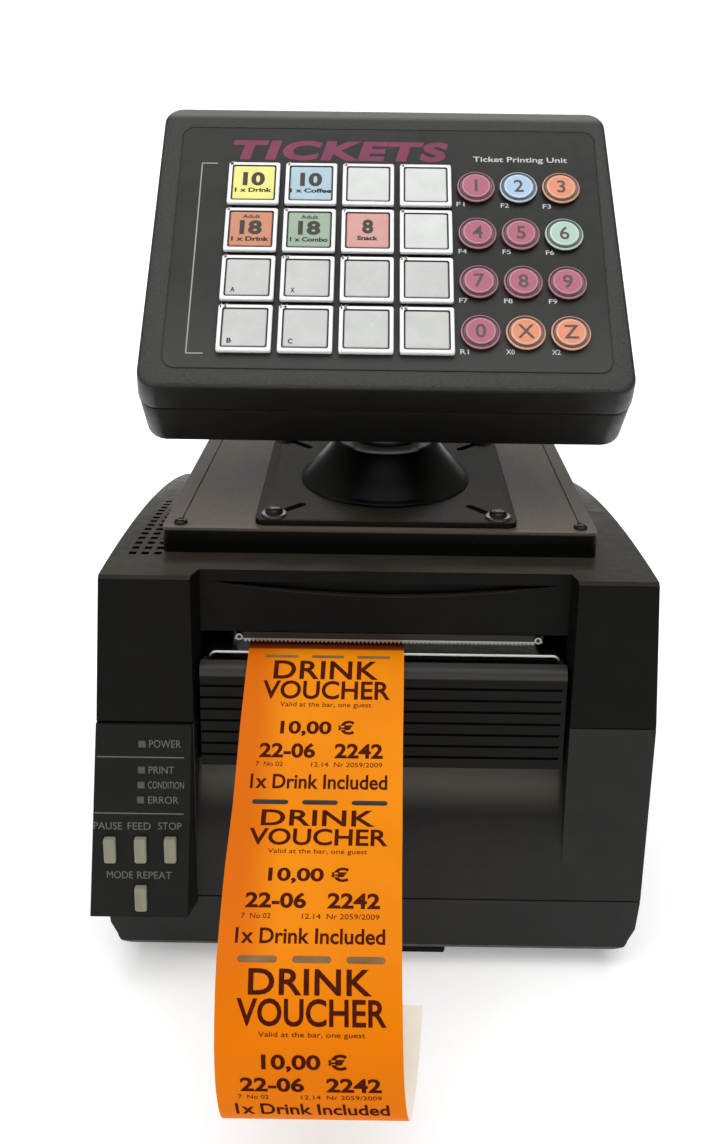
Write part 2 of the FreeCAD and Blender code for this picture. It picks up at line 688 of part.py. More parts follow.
# ----------------------------------------------------- ticket roll and strip
sx0, sx1 = strip_x - strip_w / 2, strip_x + strip_w / 2
node(cut("roll_all", cyl("roll_disc", "X", roll_r, sx0, roll_y, roll_z,
                         strip_w),
         [cyl("roll_hole", "X", core_r + fit, sx0 - 1, roll_y, roll_z,
              strip_w + 2)]), "ticket_roll")
sp0 = num(sx0)
node(fuse("spindle_all", [
    cyl("spindle_rod", "X", core_r, sp0 - 3.0, roll_y, roll_z, 67.0),
    cyl("spindle_ends", "X", 5.0, -66.5, roll_y, roll_z, 101.0),
    cyl("guide_disc_l", "X", 30.0, sp0 - 3.4, roll_y, roll_z, 3.0),
    cyl("guide_disc_r", "X", 30.0, sp0 + num(strip_w) + 0.4, roll_y, roll_z,
        3.0)]), "roll_spindle")

# the strip: centre line as (y, z, sideways shift), from the roll over the
# platen, out of the mouth, down through two perforations and round the
# curl at its end.  Its faces are flat quads between the stations.
t2 = num(strip_t)
W = [(31.3, 119.8, 0), (-112.9, 145.6, 0), (-132.5, 145.4, 0),
     (-139.5, 145.0, 0), (-149.0, 141.6, -0.2), (-160.0, 136.7, -0.4),
     (-171.0, 130.8, -0.7), (-184.0, 123.2, -0.9), (-196.3, 115.9, -1.1),
     (-205.0, 113.3, -1.2), (-215.0, 110.1, -1.4), (-225.0, 106.2, -1.6),
     (-236.0, 100.9, -1.7), (-250.8, 92.9, -1.8), (-257.0, 86.8, -1.7),
     (-263.0, 79.0, -1.5), (-268.0, 69.6, -1.2), (-270.6, 60.0, -0.7),
     (-271.4, 53.0, 0.0), (-270.6, 47.4, 0.8), (-267.6, 43.6, 1.7),
     (-263.2, 42.6, 2.6), (-259.0, 44.6, 3.4), (-255.6, 49.0, 4.1),
     (-252.6, 55.0, 4.7), (-249.4, 63.6, 5.3), (-246.6, 73.6, 5.7)]


def ribbon(stations, t, xc, w):
    n = len(stations)
    secs = []
    for i, (y, z, sh) in enumerate(stations):
        a = stations[max(i - 1, 0)]
        b = stations[min(i + 1, n - 1)]
        ta = (y - a[0], z - a[1]) if i else (b[0] - y, b[1] - z)
        tb = (b[0] - y, b[1] - z) if i < n - 1 else ta
        la, lb = math.hypot(*ta), math.hypot(*tb)
        ta, tb = (ta[0] / la, ta[1] / la), (tb[0] / lb, tb[1] / lb)
        m = (ta[0] + tb[0], ta[1] + tb[1])
        lm = math.hypot(*m)
        m = (m[0] / lm, m[1] / lm)
        k = t / 2 / max(m[0] * ta[0] + m[1] * ta[1], 0.5)
        xl, xr = xc + sh - w / 2, xc + sh + w / 2
        up = (y + m[1] * k, z - m[0] * k)
        dn = (y - m[1] * k, z + m[0] * k)
        secs.append((V(xl, *up), V(xr, *up), V(xr, *dn), V(xl, *dn)))
    fs = []

    def add(*vs):
        fs.append(Part.Face(Part.makePolygon(list(vs) + [vs[0]])))

    add(*secs[0])
    add(*secs[-1])
    for p, q in zip(secs, secs[1:]):
        add(p[0], p[1], q[1], q[0])
        add(p[3], p[2], q[2], q[3])
        for i, j in ((0, 3), (1, 2)):
            add(p[i], p[j], q[j])
            add(p[i], q[j], q[i])
    sh = Part.Shell(fs)
    so = Part.Solid(sh)
    if so.Volume < 0:
        so.reverse()
    return so


o = doc.addObject("Part::Feature", "ticket_strip_shape")
o.Shape = ribbon(W, t2, num(strip_x), num(strip_w))
o.Placement = FreeCAD.Placement(V(0, 0, 0), FreeCAD.Rotation())
node(o, "ticket_strip")

# ------------------------------------------------------- board and its ports
board = box("board", -80.0, 75.0, 126.8, 128.4, 18.0, 92.0)
usb = cut("usb", box("usb_shell", 20.0, 32.0, 128.0, 145.3, 30.0, 41.0),
          [box("usb_hole", 21.6, 30.4, 136.0, 146.0, 31.6, 39.4)])
power = cut("power", cyl("power_shell", "Y", 7.0, 54.0, 128.0, 36.0, 17.3),
            [cyl("power_hole", "Y", 4.6, 54.0, 136.0, 36.0, 10.0)])
serial = fuse("serial", [box("serial_back", -40.0, -10.0, 128.0, 144.0,
                             30.0, 42.0),
                         box("serial_face", -33.5, -16.5, 144.0, 146.0,
                             32.0, 40.0)])
chips = [box("chip_%d" % i, x, x + w, 123.8, 127.0, z, z + d)
         for i, (x, z, w, d) in enumerate(((-60, 60, 28, 28),
                                           (-5, 55, 18, 22),
                                           (30, 62, 14, 14)))]
node(fuse("board_all", [board, usb, power, serial] + chips), "main_board")

# ------------------------------------------------------------- adapter tray
def tapered(xa, xb, y0, xc, xd, y1, r):
    """Outline from xa..xb at y0 to xc..xd at y1, its corners rounded."""
    lt, rt = (xc - xa) / (y1 - y0), (xd - xb) / (y1 - y0)
    return [(xa + r, y0, r, -1), (xb - r, y0),
            (xb + rt * r, y0 + r, r, -1), (xd - rt * r, y1 - r),
            (xd - r, y1, r, -1), (xc + r, y1),
            (xc - lt * r, y1 - r, r, -1), (xa + lt * r, y0 + r)]


tray_b = tray_y + tray_d
tray_blk = prism("tray_block", "XY", 130.0, tray_z, tapered(
    tray_l, tray_r, tray_y, tray_bl, tray_br, tray_b, 3.0))
under = prism("under_arch", "YZ", -120.0, 120.0, [
    (front, 90.0), (arch_end_y, 90.0), (arch_end_y, arch_end),
    (front, top_z, arch_r, -1)])
tray_in = prism("tray_in", "XY", 120.0, tray_z - tray_t, [
    (tray_l + tray_t, tray_y + tray_t), (tray_r - tray_t, tray_y + tray_t),
    (tray_br - tray_t, tray_b - tray_t), (tray_bl + tray_t,
                                          tray_b - tray_t)])
TSC = [(-80.1, -106.6), (81.7, -106.6), (-72.3, 5.4), (76.8, 5.4)]
grooves = []
for i in (0, 1):
    (gx, gy), (hx_, hy_) = TSC[i], TSC[i + 2]
    k = (hx_ - gx) / (hy_ - gy)
    grooves.append(prism("tray_groove_%d" % i, "XY", tray_z - 0.6,
                         tray_z + 1, [
        (gx + k * 5 - 0.4, gy + 5), (gx + k * 5 + 0.4, gy + 5),
        (hx_ - k * 5 + 0.4, hy_ - 5), (hx_ - k * 5 - 0.4, hy_ - 5)]))
node(cut("tray_all", tray_blk, [under, tray_in] + grooves), "adapter_tray")

# ---------------------------------------------- mount plate, bell and screws
pz = tray_z
plate = prism("mount_plate", "XY", pz, pz + plate_t, tapered(
    mount_x - plate_w / 2, mount_x + plate_w / 2,
    mount_y + 1.2 - plate_d / 2, mount_x - plate_w / 2 + 1.8,
    mount_x + plate_w / 2 - 1.4, mount_y + 1.2 + plate_d / 2, 4.0))
bell = fuse("bell", [
    cyl("bell_rim", "Z", bell_r, mount_x, mount_y, pz + plate_t - 0.5, 2.0),
    cone("bell_low", bell_r - 0.3, 28.6, mount_x, mount_y,
         pz + plate_t + 1.4, 7.4),
    cone("bell_high", 28.8, bell_top_r, mount_x, mount_y,
         pz + plate_t + 8.6, bell_z - pz - plate_t - 8.6)])
slots = []
hy = mount_y + 1.2
for i, (sx, sy) in enumerate(((-1, -1), (1, -1), (-1, 1), (1, 1))):
    s = prism("slot_%d" % i, "XY", pz - 1, pz + plate_t + 0.0, rounded(
        -1.8, 17.0, -1.8, 1.8, 1.79))
    ang = math.degrees(math.atan2(-sy, -sx))
    s.Placement = FreeCAD.Placement(V(0, 0, 0), FreeCAD.Rotation())
    a = doc.addObject("Part::MultiFuse", "slot_at_%d" % i)
    a.Shapes = [s, cyl("slot_end_%d" % i, "Z", 2.2, 0.0, 0.0, pz - 1,
                       plate_t + 1.0)]
    a.Placement = FreeCAD.Placement(
        V(num(mount_x) + sx * num(hole_x), num(hy) + sy * num(hole_x), 0),
        FreeCAD.Rotation(V(0, 0, 1), ang))
    a.setExpression("Placement.Base.x", txt(mount_x + sx * hole_x))
    a.setExpression("Placement.Base.y", txt(hy + sy * hole_x))
    slots.append(a)
node(cut("mount_base_all", fuse("mount_solid", [plate, bell]),
         slots + [cyl("neck_bore", "Z", spigot_r + fit, mount_x, mount_y,
                      192.0, 20.0)]), "mount_base")
screws = []
for i, (sx, sy) in enumerate(((-1, -1), (1, -1), (-1, 1), (1, 1))):
    x, y = mount_x + sx * hole_x, hy + sy * hole_x
    screws.append(fuse("plate_screw_%d" % i, [
        cyl("washer_%d" % i, "Z", 5.2, x, y, pz + plate_t, 1.0),
        cyl("shank_%d" % i, "Z", 1.9, x, y, pz, plate_t + 1.0),
        cyl("head_%d" % i, "Z", 3.6, x, y, pz + plate_t + 1.0, 1.2),
        cone("dome_%d" % i, 3.6, 2.2, x, y, pz + plate_t + 2.2, 0.9)]))
    x2, y2 = TSC[i]
    screws.append(fuse("tray_screw_%d" % i, [
        cyl("tray_head_%d" % i, "Z", 2.8, x2, y2, pz, 0.9),
        cone("tray_dome_%d" % i, 2.8, 1.8, x2, y2, pz + 0.9, 0.7)]))
o = doc.addObject("Part::Compound", "mount_screw_group")
o.Links = screws
node(o, "mount_screws")

# ----------------------------------------------------- swivel neck and tilt
node(cut("neck_all", fuse("neck_solid", [
    cyl("spigot", "Z", spigot_r, mount_x, mount_y, 192.6, bell_z - 192.0),
    cyl("collar", "Z", neck_r, mount_x, mount_y, bell_z + 0.15, 3.6),
    box("ear_l", mount_x - 11.5, mount_x - 7.0, mount_y - ear_r,
        mount_y + ear_r, bell_z + 3, tilt_z),
    box("ear_r", mount_x + 7.0, mount_x + 11.5, mount_y - ear_r,
        mount_y + ear_r, bell_z + 3, tilt_z),
    cyl("ear_cl", "X", ear_r, mount_x - 11.5, mount_y, tilt_z, 4.5),
    cyl("ear_cr", "X", ear_r, mount_x + 7.0, mount_y, tilt_z, 4.5)]),
    [cyl("ear_bore", "X", bolt_r, mount_x - 15, mount_y, tilt_z, 30.0)]),
    "swivel_neck")
node(fuse("bolt_all", [
    cyl("bolt_rod", "X", bolt_r, mount_x - 15.0, mount_y, tilt_z, 30.0),
    prism("bolt_head", "YZ", mount_x - 15.5, mount_x - 11.6, [
        (num(mount_y) + 6.0 * math.cos(math.radians(60 * k)),
         num(tilt_z) + 6.0 * math.sin(math.radians(60 * k)))
        for k in range(6)]),
    prism("bolt_nut", "YZ", mount_x + 11.6, mount_x + 15.6, [
        (num(mount_y) + 6.0 * math.cos(math.radians(60 * k)),
         num(tilt_z) + 6.0 * math.sin(math.radians(60 * k)))
        for k in range(6)])]), "tilt_bolt")

# ------------------------------------------------------------------ console
# The console's pieces are drawn flat: x to the right, y up the face, z out
# of the face, and then set at the console's place and tilt.


def tilt(obj, name):
    obj.Placement = FreeCAD.Placement(
        V(num(con_x), num(con_y), num(con_z)),
        FreeCAD.Rotation(V(1, 0, 0), num(con_a)))
    obj.setExpression("Placement.Base.x", con_x.ex)
    obj.setExpression("Placement.Base.y", con_y.ex)
    obj.setExpression("Placement.Base.z", con_z.ex)
    obj.setExpression("Placement.Rotation.Angle", con_a.ex)
    return node(obj, name)


def loft(name, sections, grow=0.0):
    """Through sections (left, right at the foot, left, right at the head,
    half height, corner radius, level), each grown sideways."""
    sks = []
    for i, (xa, xb, xc, xd, h_, r, z) in enumerate(sections):
        sks.append(outline("%s_s%d" % (name, i), "XY", z, tapered(
            xa - grow, xb + grow, -h_, xc - grow, xd + grow, h_, r)))
    lo = doc.addObject("Part::Loft", name)
    lo.Sections = sks
    lo.Solid = True
    lo.Ruled = True
    return lo


ch = con_h / 2
COLS = [-57.4, -33.4, -9.4, 14.6]
ROWS = [27.2, 3.2, -20.8, -44.8]
RCOLS = [35.7, 53.5, 71.3]
RKEYS = [["key_num_1", "key_num_2", "key_num_3"],
         ["key_num_4", "key_num_5", "key_num_6"],
         ["key_num_7", "key_num_8", "key_num_9"],
         ["key_num_0", "key_x", "key_z"]]


def key_holes(tag, z0, z1):
    out = []
    for r, y in enumerate(ROWS):
        for k, x in enumerate(COLS):
            q = key_stem / 2 + key_gap
            out.append(box("%s_sq_%d%d" % (tag, r, k), x - q, x + q, y - q,
                           y + q, z0, z1))
        for k, x in enumerate(RCOLS):
            out.append(cyl("%s_rd_%d%d" % (tag, r, k), "Z",
                           key_sr + key_gap, x, y, z0, z1 - z0))
    return out


front_raw = loft("front_shell_raw", [
    (con_fl, con_fr, con_hl, con_hr, ch, 8.0, -con_split),
    (con_fl, con_fr, con_hl, con_hr, ch, 8.0, -con_split + 0.8),
    (con_fl + 1.6, con_fr - 1.3, con_hl + 1.4, con_hr - 1.2, ch + 0.3, 7.5,
     -2.2),
    (con_fl + 2.6, con_fr - 2.4, con_hl + 2.4, con_hr - 2.2, ch - 0.7, 7.0,
     -0.5),
    (con_fl + 3.2, con_fr - 3.1, con_hl + 2.9, con_hr - 2.7, ch - 1.3, 6.6,
     0.0)])
front_in = loft("front_shell_in", [
    (con_fl + 2.8, con_fr - 2.8, con_hl + 2.6, con_hr - 2.6, ch - 2.6, 6.0,
     -con_split - 1.0),
    (con_fl + 5.0, con_fr - 4.8, con_hl + 4.8, con_hr - 4.6, ch - 3.1, 5.6,
     -con_t - 0.4)])
ovx0, ovx1 = -1.0 - ov_w / 2, -1.0 + ov_w / 2
ovy0, ovy1 = -1.35 - ov_h / 2, -1.35 + ov_h / 2
ov_pocket = prism("overlay_pocket", "XY", -0.35, 2.0, rounded(
    ovx0 - 0.3, ovx1 + 0.3, ovy0 - 0.3, ovy1 + 0.3, 5.2))
corner = [(sx * 85.0, sy * 59.5) for sx in (-1, 1) for sy in (-1, 1)]
stand = [(sx * 75.0, sy * 54.5) for sx in (-1, 1) for sy in (-1, 1)]
fbosses = [cyl("front_boss_%d" % i, "Z", 4.0, x, y, -con_split,
               con_split - 2.0) for i, (x, y) in enumerate(corner)]
stands = [cyl("stand_%d" % i, "Z", 2.5, x, y, -6.4, 4.4)
          for i, (x, y) in enumerate(stand)]
fholes = [cyl("front_hole_%d" % i, "Z", 1.6, x, y, -con_split - 1,
              12.0) for i, (x, y) in enumerate(corner)]
tilt(cut("front_shell_all", fuse("front_shell_solid", [
    cut("front_shell_hollow", front_raw, [front_in])] + fbosses + stands),
    [ov_pocket] + fholes + key_holes("fs", -6.0, 3.0)),
    "console_front_shell")

rs = con_split + 0.4
rear_raw = loft("rear_shell_raw", [
    (con_fl + 2.5, con_fr - 2.6, con_hl + 3.7, con_hr - 4.0, ch - 2.4, 8.0,
     -con_d),
    (con_fl + 0.1, con_fr - 0.2, con_hl + 1.3, con_hr - 1.6, ch - 0.8, 8.5,
     -con_d + 2.2),
    (con_fl + 0.2, con_fr - 0.2, con_hl + 0.2, con_hr - 0.2, ch, 8.0, -rs)])
rear_in = loft("rear_shell_in", [
    (con_fl + 3.0, con_fr - 3.0, con_hl + 4.1, con_hr - 4.4, ch - 3.6, 6.0,
     -con_d + 2.6),
    (con_fl + 2.8, con_fr - 2.8, con_hl + 2.8, con_hr - 2.8, ch - 2.6, 6.0,
     -rs + 1.0)])
rbosses = [cyl("rear_boss_%d" % i, "Z", 4.5, x, y, -con_d + 1.0,
               con_d - rs - 1.0) for i, (x, y) in enumerate(corner)]
BR = [(sx * 32.0, y) for sx in (-1, 1) for y in (-57.0, -17.0)]
brbosses = [cyl("bracket_boss_%d" % i, "Z", 4.5, x, y, -con_d + 1.0, 9.0)
            for i, (x, y) in enumerate(BR)]
rholes = [cyl("rear_hole_%d" % i, "Z", 1.6, x, y, -con_d - 1, con_d)
          for i, (x, y) in enumerate(corner)]
rholes += [cyl("rear_sink_%d" % i, "Z", 3.4, x, y, -con_d - 1, 3.0)
           for i, (x, y) in enumerate(corner)]
rholes += [cyl("bracket_hole_%d" % i, "Z", 1.6, x, y, -con_d - 1, 9.0)
           for i, (x, y) in enumerate(BR)]
tilt(cut("rear_shell_all", fuse("rear_shell_solid", [
    cut("rear_shell_hollow", rear_raw, [rear_in])] + rbosses + brbosses),
    rholes), "console_rear_shell")

tilt(cut("overlay_all", prism("overlay_sheet", "XY", -0.35, 0.15, rounded(
    ovx0, ovx1, ovy0, ovy1, 5.0)), key_holes("ov", -2.0, 2.0)),
    "keypad_overlay")

switches = []
for r, y in enumerate(ROWS):
    for k, x in enumerate(RCOLS):
        switches.append(box("sw_r%d%d" % (r, k), x - 3, x + 3, y - 3, y + 3,
                            -11.4, -8.0))
tilt(fuse("keyboard_pcb", [
    box("pcb", -79.0, 79.0, -57.5, 57.5, -8.0, -6.4),
    box("pcb_mcu", -30, -12, 20, 38, -11.0, -8.0),
    box("pcb_plug", 30, 44, 40, 48, -14.0, -8.0)]), "keypad_board")

cs = []
for i, (x, y) in enumerate(corner):
    cs.append(fuse("case_screw_%d" % i, [
        cyl("case_head_%d" % i, "Z", 3.2, x, y, -con_d, 1.9),
        cyl("case_shank_%d" % i, "Z", 1.5, x, y, -con_d + 1.9, 33.0)]))
for i, (x, y) in enumerate(BR):
    cs.append(fuse("bracket_screw_%d" % i, [
        cyl("bracket_head_%d" % i, "Z", 3.4, x, y, -con_d - 5.0, 2.0),
        cyl("bracket_shank_%d" % i, "Z", 1.5, x, y, -con_d - 3.2, 10.0)]))
o = doc.addObject("Part::Compound", "console_screw_group")
o.Links = cs
tilt(o, "console_screws")

# tilt bracket: plate on the console's back, tongue down to the tilt bolt
ca, sa = math.cos(math.radians(num(con_a))), math.sin(
    math.radians(num(con_a)))
ry, rz = num(mount_y) - num(con_y), num(tilt_z) - num(con_z)
TY, TZ = ry * ca + rz * sa, -ry * sa + rz * ca
TX = num(mount_x) - num(con_x)
tilt(cut("bracket_all", fuse("bracket_solid", [
    prism("bracket_plate", "XY", -con_d - 3.0, -con_d, rounded(
        -40.0, 40.0, -65.0, -9.0, 5.0)),
    box("tongue", TX - 6.7, TX + 6.7, TY - ear_r, TY + ear_r, TZ, -50.0),
    cyl("tongue_eye", "X", ear_r, TX - 6.7, TY, TZ, 13.4)]),
    [cyl("tongue_bore", "X", bolt_r + fit, TX - 9, TY, TZ, 18.0)]
    + [cyl("bracket_clear_%d" % i, "Z", 1.7, x, y, -con_d - 5, 8.0)
       for i, (x, y) in enumerate(BR)]), "tilt_bracket")

# the keys: square caps with a legend window, and round numeric caps
k = 0
for r, y in enumerate(ROWS):
    for c, x in enumerate(COLS):
        k += 1
        n = "key_%02d" % k
        q = key_stem / 2
        tilt(fuse(n + "_all", [
            prism(n + "_cap", "XY", 1.2, 3.2, rounded(
                x - key_w / 2, x + key_w / 2, y - key_w / 2,
                y + key_w / 2, 1.3)),
            box(n + "_stem", x - q, x + q, y - q, y + q, -5.4, 1.2)]), n)
for r, y in enumerate(ROWS):
    for c, x in enumerate(RCOLS):
        n = RKEYS[r][c]
        tilt(fuse(n + "_all", [
            cyl(n + "_stem", "Z", key_sr, x, y, -5.4, 6.7),
            cyl(n + "_skirt", "Z", key_r, x, y, 1.2, 0.8),
            cut(n + "_rim", cyl(n + "_rim_o", "Z", key_r, x, y, 1.9, 0.7),
                [cyl(n + "_rim_i", "Z", key_r - 0.8, x, y, 1.8, 1.0)]),
            cyl(n + "_disc", "Z", key_sr + 0.1, x, y, 1.2, 1.5),
            cone(n + "_dome", key_sr + 0.1, key_sr - 1.1, x, y, 2.7,
                 0.5)]), n)

# ------------------------------------------------------- check, then write
doc.recompute()
bad = []
for ob in doc.Objects:
    st = list(ob.State)
    if "Invalid" in st or "Error" in st:
        bad.append((ob.Name, st))
for name, ob in NODES:
    sh = ob.Shape
    if sh.isNull() or not sh.isValid() or not sh.Solids:
        bad.append((name, "shape"))
if bad:
    raise RuntimeError("failed objects: %s" % bad[:20])
if len(NODES) > 60:
    raise RuntimeError("too many nodes: %d" % len(NODES))
os.makedirs("parts", exist_ok=True)
for name, ob in NODES:
    ob.Shape.exportStep("parts/%s.step" % name)
    print("%-22s %2d solid(s) %9.1f mm3" % (name, len(ob.Shape.Solids),
                                            ob.Shape.Volume))
print(len(NODES), "nodes")
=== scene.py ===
import bpy
import bmesh
import math
from mathutils import Matrix, Vector


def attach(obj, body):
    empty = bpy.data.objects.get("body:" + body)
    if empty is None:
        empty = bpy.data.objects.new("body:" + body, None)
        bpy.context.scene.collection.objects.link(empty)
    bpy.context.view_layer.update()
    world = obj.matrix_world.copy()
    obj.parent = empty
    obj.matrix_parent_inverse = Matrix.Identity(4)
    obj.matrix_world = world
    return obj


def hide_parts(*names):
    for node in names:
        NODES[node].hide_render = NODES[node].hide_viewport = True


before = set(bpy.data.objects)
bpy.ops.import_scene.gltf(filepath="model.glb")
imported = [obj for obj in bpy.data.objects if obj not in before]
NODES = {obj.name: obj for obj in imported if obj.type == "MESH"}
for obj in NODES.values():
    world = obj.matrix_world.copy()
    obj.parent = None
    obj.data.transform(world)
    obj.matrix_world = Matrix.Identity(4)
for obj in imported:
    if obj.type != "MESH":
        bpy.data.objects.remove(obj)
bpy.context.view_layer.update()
MM = 0.001


# =============================================================== materials
def nodes_of(name):
    m = bpy.data.materials.new(name)
    m.use_nodes = True
    nt = m.node_tree
    return m, nt, nt.nodes["Principled BSDF"]


def rgb(c, k=1.0):
    return (min(c[0] * k, 1), min(c[1] * k, 1), min(c[2] * k, 1), 1)


def ranged(nt, value, lo, hi):
    """0 where value is lo, 1 where it is hi, smooth between."""
    mr = nt.nodes.new("ShaderNodeMapRange")
    mr.interpolation_type = "SMOOTHSTEP"
    swap = lo > hi
    mr.inputs["From Min"].default_value = min(lo, hi)
    mr.inputs["From Max"].default_value = max(lo, hi)
    mr.inputs["To Min"].default_value = 1.0 if swap else 0.0
    mr.inputs["To Max"].default_value = 0.0 if swap else 1.0
    nt.links.new(value, mr.inputs["Value"])
    return mr.outputs["Result"]


def mixed(nt, out, colour, fac, noise=None):
    """out where fac is 0, colour where it is 1; noise mottles the colour."""
    mx = nt.nodes.new("ShaderNodeMix")
    mx.data_type = "RGBA"
    nt.links.new(fac, mx.inputs["Factor"])
    nt.links.new(out, mx.inputs["A"])
    if noise is None:
        mx.inputs["B"].default_value = colour
    else:
        r = nt.nodes.new("ShaderNodeValToRGB")
        r.color_ramp.elements[0].position = 0.3
        r.color_ramp.elements[1].position = 0.7
        r.color_ramp.elements[0].color = rgb(colour, 0.85)
        r.color_ramp.elements[1].color = rgb(colour, 1.15)
        nt.links.new(noise, r.inputs["Fac"])
        nt.links.new(r.outputs["Color"], mx.inputs["B"])
    return mx.outputs["Result"]


def surface(name, col, rough=0.5, spec=0.5, metallic=0.0, mottle=0.1,
            mscale=60, grain=0.0, gscale=2500, gdist=0.00015, rvar=0.06,
            coat=0.0, coat_rough=0.1, wear=None, trans=0.0, ior=1.46,
            sss=0.0, brushed=None, big=0.0, bscale=25, up=None, bands=()):
    """A plastic, paint or metal: colour mottled by noise, roughness varied
    by a second noise, and a fine grain in the normal. up is a painted
    highlight: a lighter colour for faces that look upwards, as if lit from
    above; bands are (colour, axis values...) boxes."""
    m, nt, b = nodes_of(name)
    new, link = nt.nodes.new, nt.links.new
    tc = new("ShaderNodeTexCoord")
    src = tc.outputs["Object"]
    if brushed:
        mp = new("ShaderNodeMapping")
        mp.inputs["Scale"].default_value = brushed
        link(src, mp.inputs["Vector"])
        src = mp.outputs["Vector"]
    n1 = new("ShaderNodeTexNoise")
    n1.inputs["Scale"].default_value = mscale
    n1.inputs["Detail"].default_value = 5
    link(src, n1.inputs["Vector"])
    ramp = new("ShaderNodeValToRGB")
    ramp.color_ramp.elements[0].position = 0.3
    ramp.color_ramp.elements[1].position = 0.7
    ramp.color_ramp.elements[0].color = rgb(col, 1 - mottle)
    ramp.color_ramp.elements[1].color = rgb(col, 1 + mottle)
    link(n1.outputs["Fac"], ramp.inputs["Fac"])
    out = ramp.outputs["Color"]
    # painted highlight: faces that look upwards are mixed towards the lighter
    # up colour, as if lit from above
    if up:
        sep = new("ShaderNodeSeparateXYZ")
        link(tc.outputs["Normal"], sep.inputs["Vector"])
        out = mixed(nt, out, rgb(up), ranged(nt, sep.outputs["Z"], 0.35,
                                             0.97), n1.outputs["Fac"])
    # bands paint colour in boxes of object space; most bands given below are
    # painted light and shade
    for colour, faces in bands:
        sep = new("ShaderNodeSeparateXYZ")
        link(tc.outputs["Object"], sep.inputs["Vector"])
        fac = None
        for axis, lo, hi in faces:
            f = ranged(nt, sep.outputs[axis], lo, hi)
            if fac is None:
                fac = f
            else:
                mu = new("ShaderNodeMath")
                mu.operation = "MULTIPLY"
                link(fac, mu.inputs[0])
                link(f, mu.inputs[1])
                fac = mu.outputs[0]
        out = mixed(nt, out, rgb(colour), fac)
    link(out, b.inputs["Base Color"])
    n2 = new("ShaderNodeTexNoise")
    n2.inputs["Scale"].default_value = mscale * 2.7
    n2.inputs["Detail"].default_value = 3
    link(src, n2.inputs["Vector"])
    mr = new("ShaderNodeMapRange")
    mr.inputs["From Min"].default_value = 0.3
    mr.inputs["From Max"].default_value = 0.7
    mr.inputs["To Min"].default_value = max(rough - rvar, 0.02)
    mr.inputs["To Max"].default_value = min(rough + rvar, 1)
    link(n2.outputs["Fac"], mr.inputs["Value"])
    link(mr.outputs["Result"], b.inputs["Roughness"])
    normal = None
    if big:
        n4 = new("ShaderNodeTexNoise")
        n4.inputs["Scale"].default_value = bscale
        n4.inputs["Detail"].default_value = 2
        link(src, n4.inputs["Vector"])
        bb = new("ShaderNodeBump")
        bb.inputs["Strength"].default_value = big
        bb.inputs["Distance"].default_value = 0.001
        link(n4.outputs["Fac"], bb.inputs["Height"])
        normal = bb
    if grain:
        n3 = new("ShaderNodeTexNoise")
        n3.inputs["Scale"].default_value = gscale
        n3.inputs["Detail"].default_value = 2
        link(src, n3.inputs["Vector"])
        bp = new("ShaderNodeBump")
        bp.inputs["Strength"].default_value = grain
        bp.inputs["Distance"].default_value = gdist
        link(n3.outputs["Fac"], bp.inputs["Height"])
        if normal:
            link(normal.outputs["Normal"], bp.inputs["Normal"])
        normal = bp
    if normal:
        link(normal.outputs["Normal"], b.inputs["Normal"])
    b.inputs["Metallic"].default_value = metallic
    b.inputs["Specular IOR Level"].default_value = spec
    b.inputs["IOR"].default_value = ior
    if coat:
        b.inputs["Coat Weight"].default_value = coat
        b.inputs["Coat Roughness"].default_value = coat_rough
    if trans:
        b.inputs["Transmission Weight"].default_value = trans
    if sss:
        b.inputs["Subsurface Weight"].default_value = sss
        b.inputs["Subsurface Radius"].default_value = (0.002, 0.0015, 0.001)
        b.inputs["Subsurface Scale"].default_value = 1.0
    return m


M = {}
# case: up is a painted highlight on upward faces. The first band is painted
# shade, darkening the chute below the apron from z 56 mm up; the second is a
# painted highlight, lightening the chute's top just under the apron.
M["case"] = surface("case_plastic", (0.0088, 0.0082, 0.0073), 0.46, 0.26,
                    grain=0.22, gscale=2600, mottle=0.12, big=0.04,
                    up=(0.030, 0.027, 0.023),
                    bands=[((0.0030, 0.0026, 0.0020), (
                        ("Z", 0.0560, 0.0860), ("Y", -0.1215, -0.129),
                        ("X", -0.0722, -0.0700), ("X", 0.0765, 0.0735))),
                           ((0.118, 0.108, 0.090), (
                        ("Z", 0.0735, 0.0935), ("Z", 0.0978, 0.0966),
                        ("Y", -0.1215, -0.129),
                        ("X", -0.0722, -0.0700), ("X", 0.0765, 0.0735)))])
# cover: up is a painted highlight on its upward faces
M["cover"] = surface("cover_plastic", (0.0046, 0.0042, 0.0036), 0.42, 0.08,
                     grain=0.18, gscale=2600, mottle=0.10, big=0.04,
                     up=(0.034, 0.028, 0.022))
# apron: the band is a painted highlight, lighter above z 137 mm along its top
# edge
M["apron"] = surface("apron_plastic", (0.0036, 0.0031, 0.0025), 0.36, 0.12,
                     grain=0.10, gscale=3200,
                     bands=[((0.048, 0.045, 0.039), (
                         ("Z", 0.1366, 0.1374),))])
M["panel"] = surface("panel_plastic", (0.0080, 0.0079, 0.0068), 0.5, 0.15,
                     grain=0.15, gscale=3000)
# tray: up is a painted warm sheen on its upward faces, and the band a painted
# highlight along its front top edge
M["tray"] = surface("tray_finish", (0.0045, 0.0040, 0.0034), 0.36, 0.18,
                    grain=0.9, gscale=1250, gdist=0.00034, mottle=0.34,
                    mscale=1100, up=(0.112, 0.089, 0.066),
                    bands=[((0.13, 0.104, 0.076), (
                        ("Y", -0.1088, -0.1100), ("Z", 0.1846, 0.1856)))])
